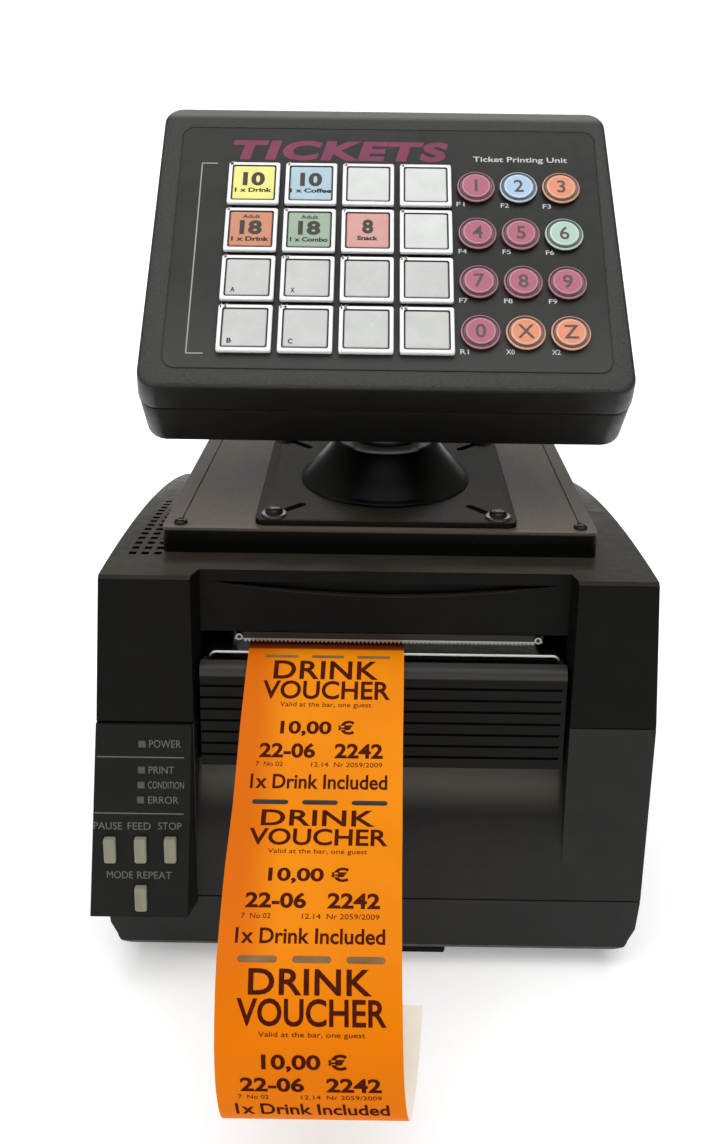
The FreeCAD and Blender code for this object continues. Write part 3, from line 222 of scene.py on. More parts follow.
# plate: up is a painted highlight on its upward faces
M["plate"] = surface("plate_finish_and_painted_light", (0.007, 0.006, 0.005), 0.44, 0.08,
                     grain=0.7, gscale=1300, gdist=0.0003, mottle=0.24,
                     mscale=900, up=(0.028, 0.022, 0.016))
M["mount"] = surface("mount_paint", (0.0060, 0.0057, 0.0050), 0.22, 0.5,
                     grain=0.05, gscale=1500, coat=0.35, coat_rough=0.12)
M["collar"] = surface("bright_collar", (0.80, 0.79, 0.74), 0.18, 0.5,
                      metallic=0.7, mscale=500)
# bell: the first two bands are a painted sheen on its left and right flanks,
# the third a painted glint on its top round the neck
M["bell"] = surface("bell_paint_and_painted_sheen", (0.0016, 0.0015, 0.0012), 0.34, 0.10,
                    big=0.03, rvar=0.03,
                    bands=[((0.030, 0.031, 0.027), (("X", 0.013, 0.034),)),
                           ((0.030, 0.031, 0.027), (("X", -0.007, -0.028),)),
                           ((0.60, 0.59, 0.54), (
                               ("Z", 0.2066, 0.2072), ("X", 0.0175, 0.0145),
                               ("X", -0.0115, -0.0085)))])
# shell: the band is a painted highlight along the top edge of the console
# above z 337 mm
M["shell"] = surface("shell_plastic", (0.030, 0.0305, 0.028), 0.50, 0.34,
                     grain=0.85, gscale=1150, gdist=0.00038, mottle=0.32,
                     mscale=1300,
                     bands=[((0.15, 0.146, 0.136), (
                         ("Z", 0.3368, 0.3388),))])
# shell_side: up is a painted highlight on its upward faces
M["shell_side"] = surface("shell_side", (0.0085, 0.0082, 0.0074), 0.42,
                          0.24, grain=0.22, gscale=2200, mottle=0.10,
                          up=(0.06, 0.06, 0.057))
# film: the band is painted light, making the film lighter towards its lower
# edge
M["film"] = surface("overlay_film", (0.0250, 0.0250, 0.0236), 0.40, 0.18,
                    grain=0.08, gscale=3800, mottle=0.08,
                    bands=[((0.046, 0.0465, 0.043), (
                        ("Z", 0.285, 0.250),))])
M["dark"] = surface("dark_line", (0.012, 0.012, 0.013), 0.5, 0.3)
M["steel"] = surface("bright_steel", (0.62, 0.61, 0.58), 0.22, 0.5,
                     metallic=1.0, mscale=700, brushed=(1, 12, 12))
M["ground"] = surface("ground_steel", (0.030, 0.027, 0.025), 0.42, 0.3,
                      metallic=0.6, mscale=900, brushed=(1, 10, 10))
M["teeth"] = surface("teeth_steel", (0.34, 0.33, 0.32), 0.34, 0.5,
                     metallic=0.7, mscale=900, brushed=(1, 10, 10))
M["washer"] = surface("washer_steel", (0.12, 0.112, 0.10), 0.30, 0.5,
                      metallic=0.8, mscale=700)
M["screw"] = surface("screw_steel", (0.20, 0.20, 0.20), 0.30, 0.5,
                     metallic=1.0, mscale=500)
M["black_screw"] = surface("black_screw", (0.02, 0.02, 0.02), 0.3, 0.5,
                           metallic=0.6)
M["rubber"] = surface("rubber", (0.012, 0.012, 0.012), 0.8, 0.25,
                      grain=0.3, gscale=1800)
M["platen"] = surface("platen_rubber", (0.03, 0.03, 0.031), 0.6, 0.3,
                      grain=0.2, gscale=2500)
M["nylon"] = surface("gear_nylon", (0.72, 0.70, 0.64), 0.42, 0.45,
                     mottle=0.05)
M["motor"] = surface("motor_steel", (0.30, 0.30, 0.30), 0.34, 0.5,
                     metallic=1.0, mscale=300)
M["brass"] = surface("brass", (0.72, 0.50, 0.20), 0.28, 0.5, metallic=1.0,
                     mscale=300)
M["alloy"] = surface("head_alloy", (0.52, 0.53, 0.55), 0.35, 0.5,
                     metallic=1.0, mscale=400)
M["spindle"] = surface("spindle_plastic", (0.05, 0.05, 0.055), 0.45, 0.4)
M["pcb"] = surface("board_green", (0.012, 0.11, 0.05), 0.35, 0.5,
                   mottle=0.3, mscale=400, coat=0.3,
                   bands=[((0.016, 0.016, 0.016), (
                       ("Y", 0.1287, 0.1290),))])
M["beige"] = surface("button_beige", (0.25, 0.238, 0.165), 0.42, 0.45,
                     grain=0.1, gscale=3000, mottle=0.05)
M["lens"] = surface("lens_grey", (0.055, 0.057, 0.050), 0.35, 0.3,
                    mottle=0.06, coat=0.3)
M["ink_grey"] = surface("ink_grey", (0.36, 0.35, 0.33), 0.55, 0.3,
                        mottle=0.05)
M["ink_panel"] = surface("ink_panel", (0.145, 0.145, 0.132), 0.55, 0.2,
                         mottle=0.05)
M["ink_white"] = surface("ink_white", (0.62, 0.62, 0.61), 0.5, 0.3,
                         mottle=0.04)
M["ink_black"] = surface("ink_black", (0.012, 0.012, 0.013), 0.5, 0.3,
                         mottle=0.05)
M["ink_dull"] = surface("ink_dull", (0.050, 0.046, 0.036), 0.5, 0.3,
                        mottle=0.05)
M["ink_digit"] = surface("ink_digit", (0.105, 0.075, 0.080), 0.5, 0.3,
                         mottle=0.05)
M["ink_magenta"] = surface("ink_magenta", (0.21, 0.03, 0.085), 0.45, 0.3,
                           mottle=0.08)
M["ink_brown"] = surface("ink_brown", (0.070, 0.009, 0.003), 0.6, 0.04,
                         mottle=0.25, mscale=500)
M["mark_grey"] = surface("mark_grey", (0.23, 0.125, 0.05), 0.6, 0.2,
                         mottle=0.25, mscale=120)
M["frame_white"] = surface("cap_frame", (0.90, 0.905, 0.91), 0.28, 0.5,
                           mottle=0.04, coat=0.4)


def paper(name):
    """Orange face of the ticket, with fine fibres. Painted shade makes it
    darker towards its left edge and where it hangs steeply; a painted
    shadow darkens a band just below the tear bar."""
    m, nt, b = nodes_of(name)
    new, link = nt.nodes.new, nt.links.new
    tc = new("ShaderNodeTexCoord")
    n = new("ShaderNodeTexNoise")
    n.inputs["Scale"].default_value = 28
    n.inputs["Detail"].default_value = 4
    link(tc.outputs["Object"], n.inputs["Vector"])
    ramp = new("ShaderNodeValToRGB")
    ramp.color_ramp.elements[0].position = 0.25
    ramp.color_ramp.elements[0].color = (0.80, 0.220, 0.0012, 1)
    ramp.color_ramp.elements[1].position = 0.8
    ramp.color_ramp.elements[1].color = (0.90, 0.285, 0.0030, 1)
    link(n.outputs["Fac"], ramp.inputs["Fac"])
    sep = new("ShaderNodeSeparateXYZ")
    link(tc.outputs["Object"], sep.inputs["Vector"])
    # painted shade: darker towards the strip's left edge
    out = mixed(nt, ramp.outputs["Color"], (0.70, 0.145, 0.001, 1),
                ranged(nt, sep.outputs["X"], -0.031, -0.047))
    # painted shade: darker low down, where the strip hangs steeply
    out = mixed(nt, out, (0.84, 0.200, 0.0010, 1),
                ranged(nt, sep.outputs["Z"], 0.112, 0.062))
    # painted shadow: a dark red band just below the tear bar
    bar_shadow = new("ShaderNodeMath")
    bar_shadow.operation = "MULTIPLY"
    link(ranged(nt, sep.outputs["Y"], -0.1368, -0.1350), bar_shadow.inputs[0])
    link(ranged(nt, sep.outputs["Y"], -0.1290, -0.1310), bar_shadow.inputs[1])
    out = mixed(nt, out, (0.16, 0.022, 0.004, 1), bar_shadow.outputs[0])
    link(out, b.inputs["Base Color"])
    f = new("ShaderNodeTexNoise")
    f.inputs["Scale"].default_value = 2600
    f.inputs["Detail"].default_value = 3
    link(tc.outputs["Object"], f.inputs["Vector"])
    bp = new("ShaderNodeBump")
    bp.inputs["Strength"].default_value = 0.12
    bp.inputs["Distance"].default_value = 0.0001
    link(f.outputs["Fac"], bp.inputs["Height"])
    link(bp.outputs["Normal"], b.inputs["Normal"])
    b.inputs["Roughness"].default_value = 0.5
    b.inputs["Specular IOR Level"].default_value = 0.06
    return m


M["paper"] = paper("ticket_paper")
M["roll"] = surface("roll_paper", (0.84, 0.235, 0.004), 0.55, 0.1,
                    mottle=0.05, brushed=(1, 60, 60), mscale=30)
M["paper_back"] = surface("ticket_back", (0.88, 0.82, 0.73), 0.6, 0.2,
                          mottle=0.03, grain=0.1)
# painted light: the back of the ticket glows faintly warm, standing in for
# light passing through the thin paper
pb = M["paper_back"].node_tree.nodes["Principled BSDF"]
pb.inputs["Emission Color"].default_value = (1.0, 0.88, 0.72, 1)
pb.inputs["Emission Strength"].default_value = 0.09


# ================================================================ geometry
def mesh(name, verts, faces, mats, face_mat=None, smooth=40, body=None):
    """Vertices in millimetres in the row frame."""
    me = bpy.data.meshes.new(name)
    me.from_pydata([(x * MM, y * MM, z * MM) for x, y, z in verts], [],
                   faces)
    for m in mats:
        me.materials.append(m)
    if face_mat:
        for p, k in zip(me.polygons, face_mat):
            p.material_index = k
    me.validate()
    me.update()
    if smooth:
        for p in me.polygons:
            p.use_smooth = True
        me.set_sharp_from_angle(angle=math.radians(smooth))
    o = bpy.data.objects.new(name, me)
    bpy.context.scene.collection.objects.link(o)
    if body:
        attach(o, body)
    return o


CON = (Matrix.Translation((3.3, -62.7, 293.8))
       @ Matrix.Rotation(math.radians(42.26), 4, "X"))


def con(p):
    """Console's own frame to the row frame, millimetres."""
    return tuple(CON @ Vector(p))


def rring(hw, hh, r, z, n=7, cx=0.0, cy=0.0):
    """Rounded rectangle as a ring of points, counter-clockwise."""
    pts = []
    r = min(r, hw - 0.01, hh - 0.01)
    for k, (sx, sy) in enumerate(((1, -1), (1, 1), (-1, 1), (-1, -1))):
        a0 = -90 + 90 * k
        for i in range(n):
            a = math.radians(a0 + 90.0 * i / (n - 1))
            pts.append((cx + sx * (hw - r) + r * math.cos(a),
                        cy + sy * (hh - r) + r * math.sin(a), z))
    return pts


def tring(xa, xb, xc, xd, hh, r, z, n=7):
    """Ring from xa..xb at the foot to xc..xd at the head, corners round."""
    pts = []
    for k, (sx, sy) in enumerate(((1, -1), (1, 1), (-1, 1), (-1, -1))):
        t = 0.5 + sy * (hh - r) / (2 * hh)
        side = xb + (xd - xb) * t if sx > 0 else xa + (xc - xa) * t
        for i in range(n):
            a = math.radians(-90 + 90 * k + 90.0 * i / (n - 1))
            pts.append((side - sx * r + r * math.cos(a),
                        sy * (hh - r) + r * math.sin(a), z))
    return pts


def circle(r, z, n=48, cx=0.0, cy=0.0):
    return [(cx + r * math.cos(2 * math.pi * i / n),
             cy + r * math.sin(2 * math.pi * i / n), z) for i in range(n)]


class Build:
    """Collects lofted rings, boxes and letters into one mesh."""

    def __init__(self, place=None):
        self.v, self.f, self.m = [], [], []
        self.place = place or (lambda p: p)

    def loft(self, rings, mats=None, cap0=True, cap1=True, close=True):
        base = []
        for ring in rings:
            base.append(len(self.v))
            self.v += [self.place(p) for p in ring]
        n = len(rings[0])
        for k in range(len(rings) - 1):
            a, b = base[k], base[k + 1]
            mk = mats[k] if mats else 0
            for i in range(n if close else n - 1):
                j = (i + 1) % n
                self.f.append((a + i, a + j, b + j, b + i))
                self.m.append(mk)
        if cap0:
            self.f.append(tuple(range(base[0] + n - 1, base[0] - 1, -1)))
            self.m.append(mats[0] if mats else 0)
        if cap1:
            self.f.append(tuple(range(base[-1], base[-1] + n)))
            self.m.append(mats[-1] if mats else 0)

    def quad(self, a, b, c, d, k=0):
        i = len(self.v)
        self.v += [self.place(p) for p in (a, b, c, d)]
        self.f.append((i, i + 1, i + 2, i + 3))
        self.m.append(k)

    def box(self, x0, x1, y0, y1, z0, z1, bev=0.0, k=0):
        hw, hh = (x1 - x0) / 2, (y1 - y0) / 2
        cx, cy = (x0 + x1) / 2, (y0 + y1) / 2
        b = bev
        rings = [rring(hw - b, hh - b, b, z0, 4, cx, cy),
                 rring(hw, hh, b, z0 + b, 4, cx, cy),
                 rring(hw, hh, b, z1 - b, 4, cx, cy),
                 rring(hw - b * 0.3, hh - b * 0.3, b, z1 - b * 0.3, 4, cx,
                       cy),
                 rring(hw - b, hh - b, b, z1, 4, cx, cy)]
        self.loft(rings, [k] * 5)

    def text(self, s, x0, x1, y0, y1, k=0, bold=0.0, shear=0.0, z=0.0,
             keep=False, fn=None, space=1.0, slices=0):
        """Letters fitted to a rectangle: y0 the base line, y1 the tops."""
        vs, fs, (gx0, gx1, gy1) = letters(s, bold, shear, space, slices)
        sx = (x1 - x0) / (gx1 - gx0)
        sy = (y1 - y0) / gy1
        if keep:
            sx = sy
            mid = (x0 + x1) / 2
            x0 = mid - sx * (gx1 - gx0) / 2
        base = len(self.v)
        put = fn or self.place
        self.v += [put((x0 + (x - gx0) * sx, y0 + y * sy, z))
                   for x, y in vs]
        for f in fs:
            self.f.append(tuple(base + i for i in f))
            self.m.append(k)

    def make(self, name, mats, body, smooth=40):
        return mesh(name, self.v, self.f, mats, self.m, smooth, body)


_letters = {}


def letters(s, bold=0.0, shear=0.0, space=1.0, slices=0):
    key = (s, bold, shear, space, slices)
    if key not in _letters:
        c = bpy.data.curves.new("letters", "FONT")
        c.body = s
        c.size = 1.0
        c.offset = bold
        c.shear = shear
        c.space_character = space
        c.resolution_u = 4
        o = bpy.data.objects.new("letters", c)
        bpy.context.scene.collection.objects.link(o)
        bpy.context.view_layer.update()
        dg = bpy.context.evaluated_depsgraph_get()
        me = bpy.data.meshes.new_from_object(o.evaluated_get(dg))
        if slices:
            bm = bmesh.new()
            bm.from_mesh(me)
            for i in range(-slices // 3, slices + 1):
                bmesh.ops.bisect_plane(
                    bm, geom=bm.verts[:] + bm.edges[:] + bm.faces[:],
                    plane_co=(0, 0.75 * i / slices, 0), plane_no=(0, 1, 0))
            bm.to_mesh(me)
            bm.free()
        vs = [(v.co.x, v.co.y) for v in me.vertices]
        fs = []
        for p in me.polygons:
            f = list(p.vertices)
            if p.normal.z < 0:
                f.reverse()
            fs.append(f)
        bpy.data.objects.remove(o)
        bpy.data.meshes.remove(me)
        xs = [v[0] for v in vs]
        _letters[key] = (vs, fs, (min(xs), max(xs), max(v[1] for v in vs)))
    return _letters[key]


def dress(names, m, bevel=0.0, seg=2, angle=38):
    """A CAD node keeps its mesh; it gets a material and softened edges."""
    for n in names if isinstance(names, (list, tuple)) else [names]:
        o = NODES[n]
        o.data.materials.clear()
        o.data.materials.append(m)
        if bevel:
            w = o.modifiers.new("weld", "WELD")
            w.merge_threshold = 0.00002
            b = o.modifiers.new("bevel", "BEVEL")
            b.width = bevel * MM
            b.segments = seg
            b.limit_method = "ANGLE"
            b.angle_limit = math.radians(angle)
            b.use_clamp_overlap = True
            b.harden_normals = True
            b.miter_outer = "MITER_ARC"
            w = o.modifiers.new("normals", "WEIGHTED_NORMAL")
            w.keep_sharp = True
            w.weight = 90


# ============================================================ carried nodes
dress("base_case", M["case"], 0.7)
dress("top_cover", M["cover"], 0.7)
dress("control_panel", M["panel"], 0.5)
dress("outlet_apron", M["apron"], 0.3)
dress("outlet_guide", M["steel"])
dress("tear_bar", M["ground"])
dress("case_feet", M["rubber"], 0.8)
dress("platen_roller", M["platen"])
dress("platen_gear", M["nylon"])
dress("drive_motor", M["motor"], 0.4)
dress("drive_pinion", M["brass"])
dress("print_head", M["alloy"], 0.5)
dress("ticket_roll", M["roll"])
dress("roll_spindle", M["spindle"], 0.4)
dress("main_board", M["pcb"])
dress("keypad_board", M["pcb"])
dress("status_lenses", M["lens"], 0.2)
dress("adapter_tray", M["tray"], 1.4, 3)
dress("swivel_neck", M["mount"], 0.6)
dress("tilt_bolt", M["screw"], 0.3)
dress("tilt_bracket", M["mount"], 0.6)
dress("console_screws", M["screw"])

# ================================================================== console
FACE = 0.0                      # the front shell's face, in console frame


SEAM = (-100.5, 97.6, -99.3, 93.6)      # foot and head of the shells


def cring(e, h, r, z):
    """Ring of the shells: their seam outline drawn in by e on each side."""
    return tring(SEAM[0] + e[0], SEAM[1] - e[1], SEAM[2] + e[2],
                 SEAM[3] - e[3], h, r, z)


b = Build(con)
rings = [cring((0.8, 0.8, 0.8, 0.8), 69.2, 7.4, -18.5),
         cring((0.2, 0.2, 0.2, 0.2), 69.85, 7.9, -18.15),
         cring((0.05, 0.05, 0.05, 0.05), 69.98, 8.0, -17.6),
         cring((0.75, 0.6, 0.65, 0.55), 70.1, 7.8, -10.0),
         cring((1.6, 1.3, 1.4, 1.2), 70.28, 7.5, -2.4)]
for i in range(1, 8):
    a = math.radians(90.0 * i / 7)
    rc = 1.7
    e = rc * (1 - math.cos(a))
    rings.append(cring((1.7 + e, 1.5 + e, 1.5 + e, 1.3 + e), 70.15 - e,
                       7.5 - e * 0.4, -1.75 + rc * math.sin(a)))
rings.append(cring((3.7, 3.6, 3.4, 3.2), 68.1, 6.6, 0.0))
ov = (88.5, 60.7)
rings += [rring(ov[0] + 0.6, ov[1] + 0.6, 5.8, 0.0, cx=-1.0, cy=-1.35),
          rring(ov[0] + 0.1, ov[1] + 0.1, 5.4, -0.15, cx=-1.0, cy=-1.35),
          rring(ov[0], ov[1], 5.3, -0.34, cx=-1.0, cy=-1.35)]
b.loft(rings, [1] * 7 + [0] * (len(rings) - 7))
shell = b.make("front_shell", [M["shell"], M["shell_side"]], "console")
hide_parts("console_front_shell")

b = Build(con)
rings = [cring((2.5, 2.6, 3.7, 4.0), 67.6, 8.0, -47.0)]
for i in range(1, 7):
    a = math.sin(math.radians(90.0 * i / 6))
    rings.append(cring((2.5 - 2.4 * a, 2.6 - 2.4 * a, 3.7 - 2.4 * a,
                        4.0 - 2.4 * a), 67.6 + 1.6 * a, 8.0 + 0.5 * a,
                       -47.0 + 2.2 * (1 - math.cos(math.asin(min(a, 1))))))
rings += [cring((0.15, 0.2, 0.75, 0.9), 69.6, 8.3, -30.0),
          cring((0.3, 0.3, 0.3, 0.3), 69.95, 8.0, -19.8),
          cring((0.4, 0.4, 0.4, 0.4), 69.8, 7.9, -19.3),
          cring((1.0, 1.0, 1.0, 1.0), 69.2, 7.5, -18.95)]
b.loft(rings)
rear = b.make("rear_shell", [M["shell_side"]], "console")
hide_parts("console_rear_shell")

# the overlay: a satin film with softened edge
b = Build(con)
b.loft([rring(88.2, 60.4, 5.0, -0.34, cx=-1, cy=-1.35),
        rring(88.2, 60.4, 5.0, 0.02, cx=-1, cy=-1.35),
        rring(88.05, 60.25, 4.9, 0.12, cx=-1, cy=-1.35),
        rring(87.8, 60.0, 4.8, 0.15, cx=-1, cy=-1.35)])
film = b.make("overlay", [M["film"]], "console")
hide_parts("keypad_overlay")

COLS = [-57.4, -33.4, -9.4, 14.6]
ROWS = [27.2, 3.2, -20.8, -44.8]
RCOLS = [35.7, 53.5, 71.3]

# printed marks of the overlay
b = Build(con)
Z = 0.19


def stroke(x0, y0, x1, y1, w, k=0, z=Z):
    dx, dy = x1 - x0, y1 - y0
    d = math.hypot(dx, dy)
    nx, ny = -dy / d * w / 2, dx / d * w / 2
    b.quad((x0 + nx, y0 + ny, z), (x0 - nx, y0 - ny, z),
           (x1 - nx, y1 - ny, z), (x1 + nx, y1 + ny, z), k)


stroke(-80, 39.5, -80, -55.2, 0.55)
stroke(-80.2, 39.5, -73.4, 39.5, 0.55)
stroke(-80.2, -55.2, -73.4, -55.2, 0.55)
k = 0
for r, y in enumerate(ROWS):
    for c, x in enumerate(COLS):
        k += 1
        s = str(k)
        b.text(s, x - 10.2, x - 10.2 + 1.5 * len(s), y + 11.6, y + 13.3, 1,
               0.01, z=Z)
for i, (s, x, y) in enumerate((
        ("F1", 29.2, 18.4), ("F2", 47.7, 18.0), ("F3", 65.2, 17.8),
        ("F4", 29.6, -5.7), ("F5", 47.6, -5.7), ("F6", 65.3, -5.8),
        ("F7", 29.4, -29.8), ("F8", 47.4, -29.8), ("F9", 65.3, -29.8),
        ("R1", 29.3, -54.0), ("X0", 47.3, -53.8), ("X2", 65.3, -53.7))):
    b.text(s, x - 1.7, x + 1.7, y, y + 2.2, 1, 0.01, z=Z)
b.text("TICKETS", -67.5, 24.5, 42.4, 52.4, 2, 0.05, 0.16, Z, space=1.12)
b.text("Ticket Printing Unit", 35.0, 75.0, 42.2, 44.9, 1, 0.012, z=Z)
marks = b.make("overlay_marks", [M["ink_grey"], M["ink_white"],
                                 M["ink_magenta"]], "console", 0)

# ------------------------------------------------------------- square keys
def tint(name, col, rough=0.22, **kw):
    return surface(name, col, rough, 0.5, mottle=0.06, mscale=120,
                   coat=0.5, coat_rough=0.08, **kw)


KC = {"yellow": (0.85, 0.79, 0.17), "sky": (0.36, 0.53, 0.62),
      "grey": (0.64, 0.66, 0.63), "red": (0.56, 0.18, 0.065),
      "green": (0.27, 0.38, 0.26), "salmon": (0.60, 0.27, 0.225),
      "silver": (0.52, 0.53, 0.50)}
KM = {n: tint("key_" + n, c) for n, c in KC.items()}
SQ = ["yellow", "sky", "grey", "grey", "red", "green", "salmon", "grey"] + \
    ["silver"] * 8
LEGEND = {1: ("10", "1 x Drink"), 2: ("10", "1 x Coffee"),
          5: ("18", "1 x Drink", "Adult"), 6: ("18", "1 x Combo", "Adult"),
          7: ("8", "Snack")}
k = 0
for r, y in enumerate(ROWS):
    for c, x in enumerate(COLS):
        k += 1
        n = "key_%02d" % k
        b = Build(con)

        def rr(h, z, rad=0.9, x=x, y=y):
            return rring(h, h, rad, z, 5, x, y)

        b.loft([rr(9.5, -5.3), rr(9.5, 1.2), rr(10.5, 1.22), rr(10.78, 1.5),
                rr(10.8, 2.7), rr(10.72, 3.0), rr(10.5, 3.14),
                rr(10.2, 3.17), rr(9.25, 3.16, 0.9), rr(9.1, 2.9, 0.85),
                rr(8.62, 2.88, 0.7), rr(8.5, 3.08, 0.7),
                rr(8.2, 3.16, 0.7), rr(6.0, 3.19, 0.6),
                rr(3.0, 3.2, 0.5)],
               [0, 0, 0, 0, 0, 0, 0, 0, 1, 1, 2, 2, 2, 2, 2])
        key = b.make("cap_%02d" % k, [M["frame_white"], M["dark"],
                                      KM[SQ[k - 1]]], n + "_body", 50)
        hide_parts(n)
        if k in LEGEND:
            b = Build(con)
            lg = LEGEND[k]
            up = 1.1 if len(lg) < 3 else 0.0
            w = 4.6 if len(lg[0]) > 1 else 2.3
            b.text(lg[0], x - w, x + w, y - 2.4 + up, y + 4.3 + up, 1,
                   0.045, z=3.23)
            w = 0.86 * len(lg[1])
            b.text(lg[1], x - w, x + w, y - 6.1 + up, y - 4.0 + up, 0,
                   0.04, z=3.22)
            if len(lg) > 2:
                b.text(lg[2], x - 3.6, x + 3.6, y + 5.4, y + 7.2, 1, 0.03,
                       z=3.22)
            b.make("legend_%02d" % k, [M["ink_black"], M["ink_dull"]],
                   n + "_body", 0)
        elif k > 8:
            b = Build(con)
            s = {9: "A", 10: "X", 13: "B", 14: "C"}.get(k)
            if s:
                b.text(s, x - 6.6, x - 4.8, y - 7.2, y - 5.0, 0, 0.03,
                       z=3.22)
                b.make("legend_%02d" % k, [M["ink_black"]], n + "_body", 0)
        b = Build(con)
        s = str(k)
        b.text(s, x - 10.2, x - 10.2 + 1.3 * len(s), y + 9.25, y + 10.45, 0,
               0.03, z=3.2)
        b.make("corner_%02d" % k, [M["ink_black"]], n + "_body", 0)

# -------------------------------------------------------------- round keys
RC = {"pink": ((0.37, 0.038, 0.105), (0.50, 0.20, 0.26)),
      "blue": ((0.34, 0.52, 0.72), (0.62, 0.74, 0.86)),
      "amber": ((0.72, 0.20, 0.07), (0.80, 0.42, 0.26)),
      "mint": ((0.36, 0.55, 0.44), (0.60, 0.76, 0.66))}
RM = {n: (tint("disc_" + n, a, 0.16), tint("ring_" + n, c2, 0.25))
      for n, (a, c2) in RC.items()}
RK = [("key_num_1", "1", "pink"), ("key_num_2", "2", "blue"),
      ("key_num_3", "3", "amber"), ("key_num_4", "4", "pink"),
      ("key_num_5", "5", "pink"), ("key_num_6", "6", "mint"),
      ("key_num_7", "7", "pink"), ("key_num_8", "8", "pink"),
      ("key_num_9", "9", "pink"), ("key_num_0", "0", "pink"),
      ("key_x", "X", "amber"), ("key_z", "Z", "amber")]
GM = {n: tint("groove_" + n, tuple(0.18 * v + 0.012 for v in a), 0.3)
      for n, (a, c2) in RC.items()}
for i, (n, s, colour) in enumerate(RK):
    x, y = RCOLS[i % 3], ROWS[i // 3]
    b = Build(con)

    def cc(rad, z, x=x, y=y):
        return circle(rad, z, 56, x, y)

    b.loft([cc(6.0, -5.3), cc(6.0, 1.2), cc(7.6, 1.22), cc(7.88, 1.5),
            cc(7.9, 2.0), cc(7.72, 2.4), cc(7.4, 2.58), cc(7.05, 2.5),
            cc(6.85, 2.3), cc(6.35, 2.2), cc(6.15, 2.3), cc(6.08, 2.7),
            cc(5.95, 3.0), cc(5.6, 3.14), cc(5.35, 3.15), cc(3.0, 3.19),
            cc(1.2, 3.2)],
           [1, 1, 1, 1, 0, 0, 1, 1, 1, 1, 1, 0, 0, 0, 2, 2, 2])
    disc, ring = RM[colour]
    key = b.make("round_" + n, [ring, GM[colour], disc], n + "_body", 50)
    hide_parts(n)
    b = Build(con)
    b.text(s, x - 2.1, x + 2.1, y - 3.1, y + 3.1, 0, 0.012, z=3.24,
           keep=True)
    b.make("digit_" + n, [M["ink_digit"]], n + "_body", 0)

# ============================================================ mount and bell
mx, my, pz = 3.0, -58.2, 186.2
b = Build()
prof = [(36.4, pz + 2.5), (36.4, pz + 3.2), (36.1, pz + 3.7),
        (35.2, pz + 4.2), (34.2, pz + 5.2), (32.8, pz + 6.8),
        (31.2, pz + 8.6), (29.4, pz + 10.6), (27.6, pz + 12.6),
        (25.9, pz + 14.8), (24.3, pz + 16.9), (22.8, pz + 18.9),
        (21.6, pz + 20.3), (20.6, pz + 21.0), (19.6, pz + 21.28),
        (15.0, pz + 21.3), (10.06, pz + 21.2), (10.06, pz + 8.0)]
b.loft([circle(r, z, 96, mx, my) for r, z in prof], cap0=False, cap1=False)
bell = b.make("bell", [M["bell"]], "cover", 35)
cy = my + 1.2


def plan(inset, z, r=4.0, n=6):
    """The plate's outline, a little narrower at the back."""
    y0, y1 = cy - 51.8 + inset, cy + 51.8 - inset
    out = []
    for xa, ya, a0 in ((mx + 53.0, y0, -90), (mx + 51.6, y1, 0),
                       (mx - 51.2, y1, 90), (mx - 53.0, y0, 180)):
        sx = 1 if xa > mx else -1
        sy = 1 if ya == y1 else -1
        for i in range(n + 1):
            a = math.radians(a0 + 90.0 * i / n)
            out.append((xa - sx * (inset + r) + r * math.cos(a),
                        ya - sy * r + r * math.sin(a), z))
    return out


b = Build()
b.loft([plan(0.25, pz + 0.02), plan(0, pz + 0.3), plan(0, pz + 1.9),
        plan(0.2, pz + 2.3), plan(0.7, pz + 2.5)])
plate = b.make("mount_plate", [M["plate"], M["dark"]], "cover", 35)
cut = Build()
SCREWS = [(mx + sx * 45.6, cy + sy * 45.6, sx, sy)
          for sx, sy in ((-1, -1), (1, -1), (-1, 1), (1, 1))]
for hx, hy, sx, sy in SCREWS:
    ux, uy = -sx * math.sqrt(0.5), -sy * math.sqrt(0.5)
    rings = []
    for z in (pz - 1.0, pz + 4.0):
        ring = []
        for i in range(28):
            a = 2 * math.pi * i / 28
            far = 15.2 if math.cos(a) > 0 else 0.0
            lx, ly = far + 1.8 * math.cos(a), 1.8 * math.sin(a)
            ring.append((hx + ux * lx - uy * ly, hy + uy * lx + ux * ly, z))
        rings.append(ring)
    cut.loft(rings, [1, 1])
cutter = mesh("slot_cutter", cut.v, cut.f, [M["plate"], M["dark"]], cut.m, 0)
mod = plate.modifiers.new("slots", "BOOLEAN")
mod.operation = "DIFFERENCE"
mod.solver = "EXACT"
mod.object = cutter
bpy.context.view_layer.update()
dg = bpy.context.evaluated_depsgraph_get()
done = bpy.data.meshes.new_from_object(plate.evaluated_get(dg))
plate.modifiers.clear()
plate.data = done
bpy.data.objects.remove(cutter)
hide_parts("mount_base")

# washers and cross-head screws of the plate, small screws of the tray
b = Build()
for hx, hy, sx, sy in SCREWS:
    z = pz + 2.5
    b.loft([circle(r, h, 40, hx, hy) for r, h in (
        (5.2, z), (5.2, z + 0.6), (5.0, z + 0.9), (4.7, z + 1.0),
        (3.5, z + 1.0))], [0] * 5)
    b.loft([circle(r, h, 32, hx, hy) for r, h in (
        (3.6, z + 1.0), (3.6, z + 1.6), (3.45, z + 2.1), (3.0, z + 2.6),
        (2.3, z + 2.95), (1.4, z + 3.1))], [1] * 6)
    # the cross recess is not cut: a thin dark cross laid on the head stands in
    # for the shade in it, painted shade
    for a in (0.35, 0.35 + math.pi / 2):
        c, d = math.cos(a), math.sin(a)
        pts = [(-2.2, -0.4), (2.2, -0.4), (2.2, 0.4), (-2.2, 0.4)]
        b.loft([[(hx + c * u - d * v, hy + d * u + c * v, z + 3.02)
                 for u, v in pts], [(hx + c * u - d * v, hy + d * u + c * v,
                                     z + 3.09) for u, v in pts]], [2, 2])
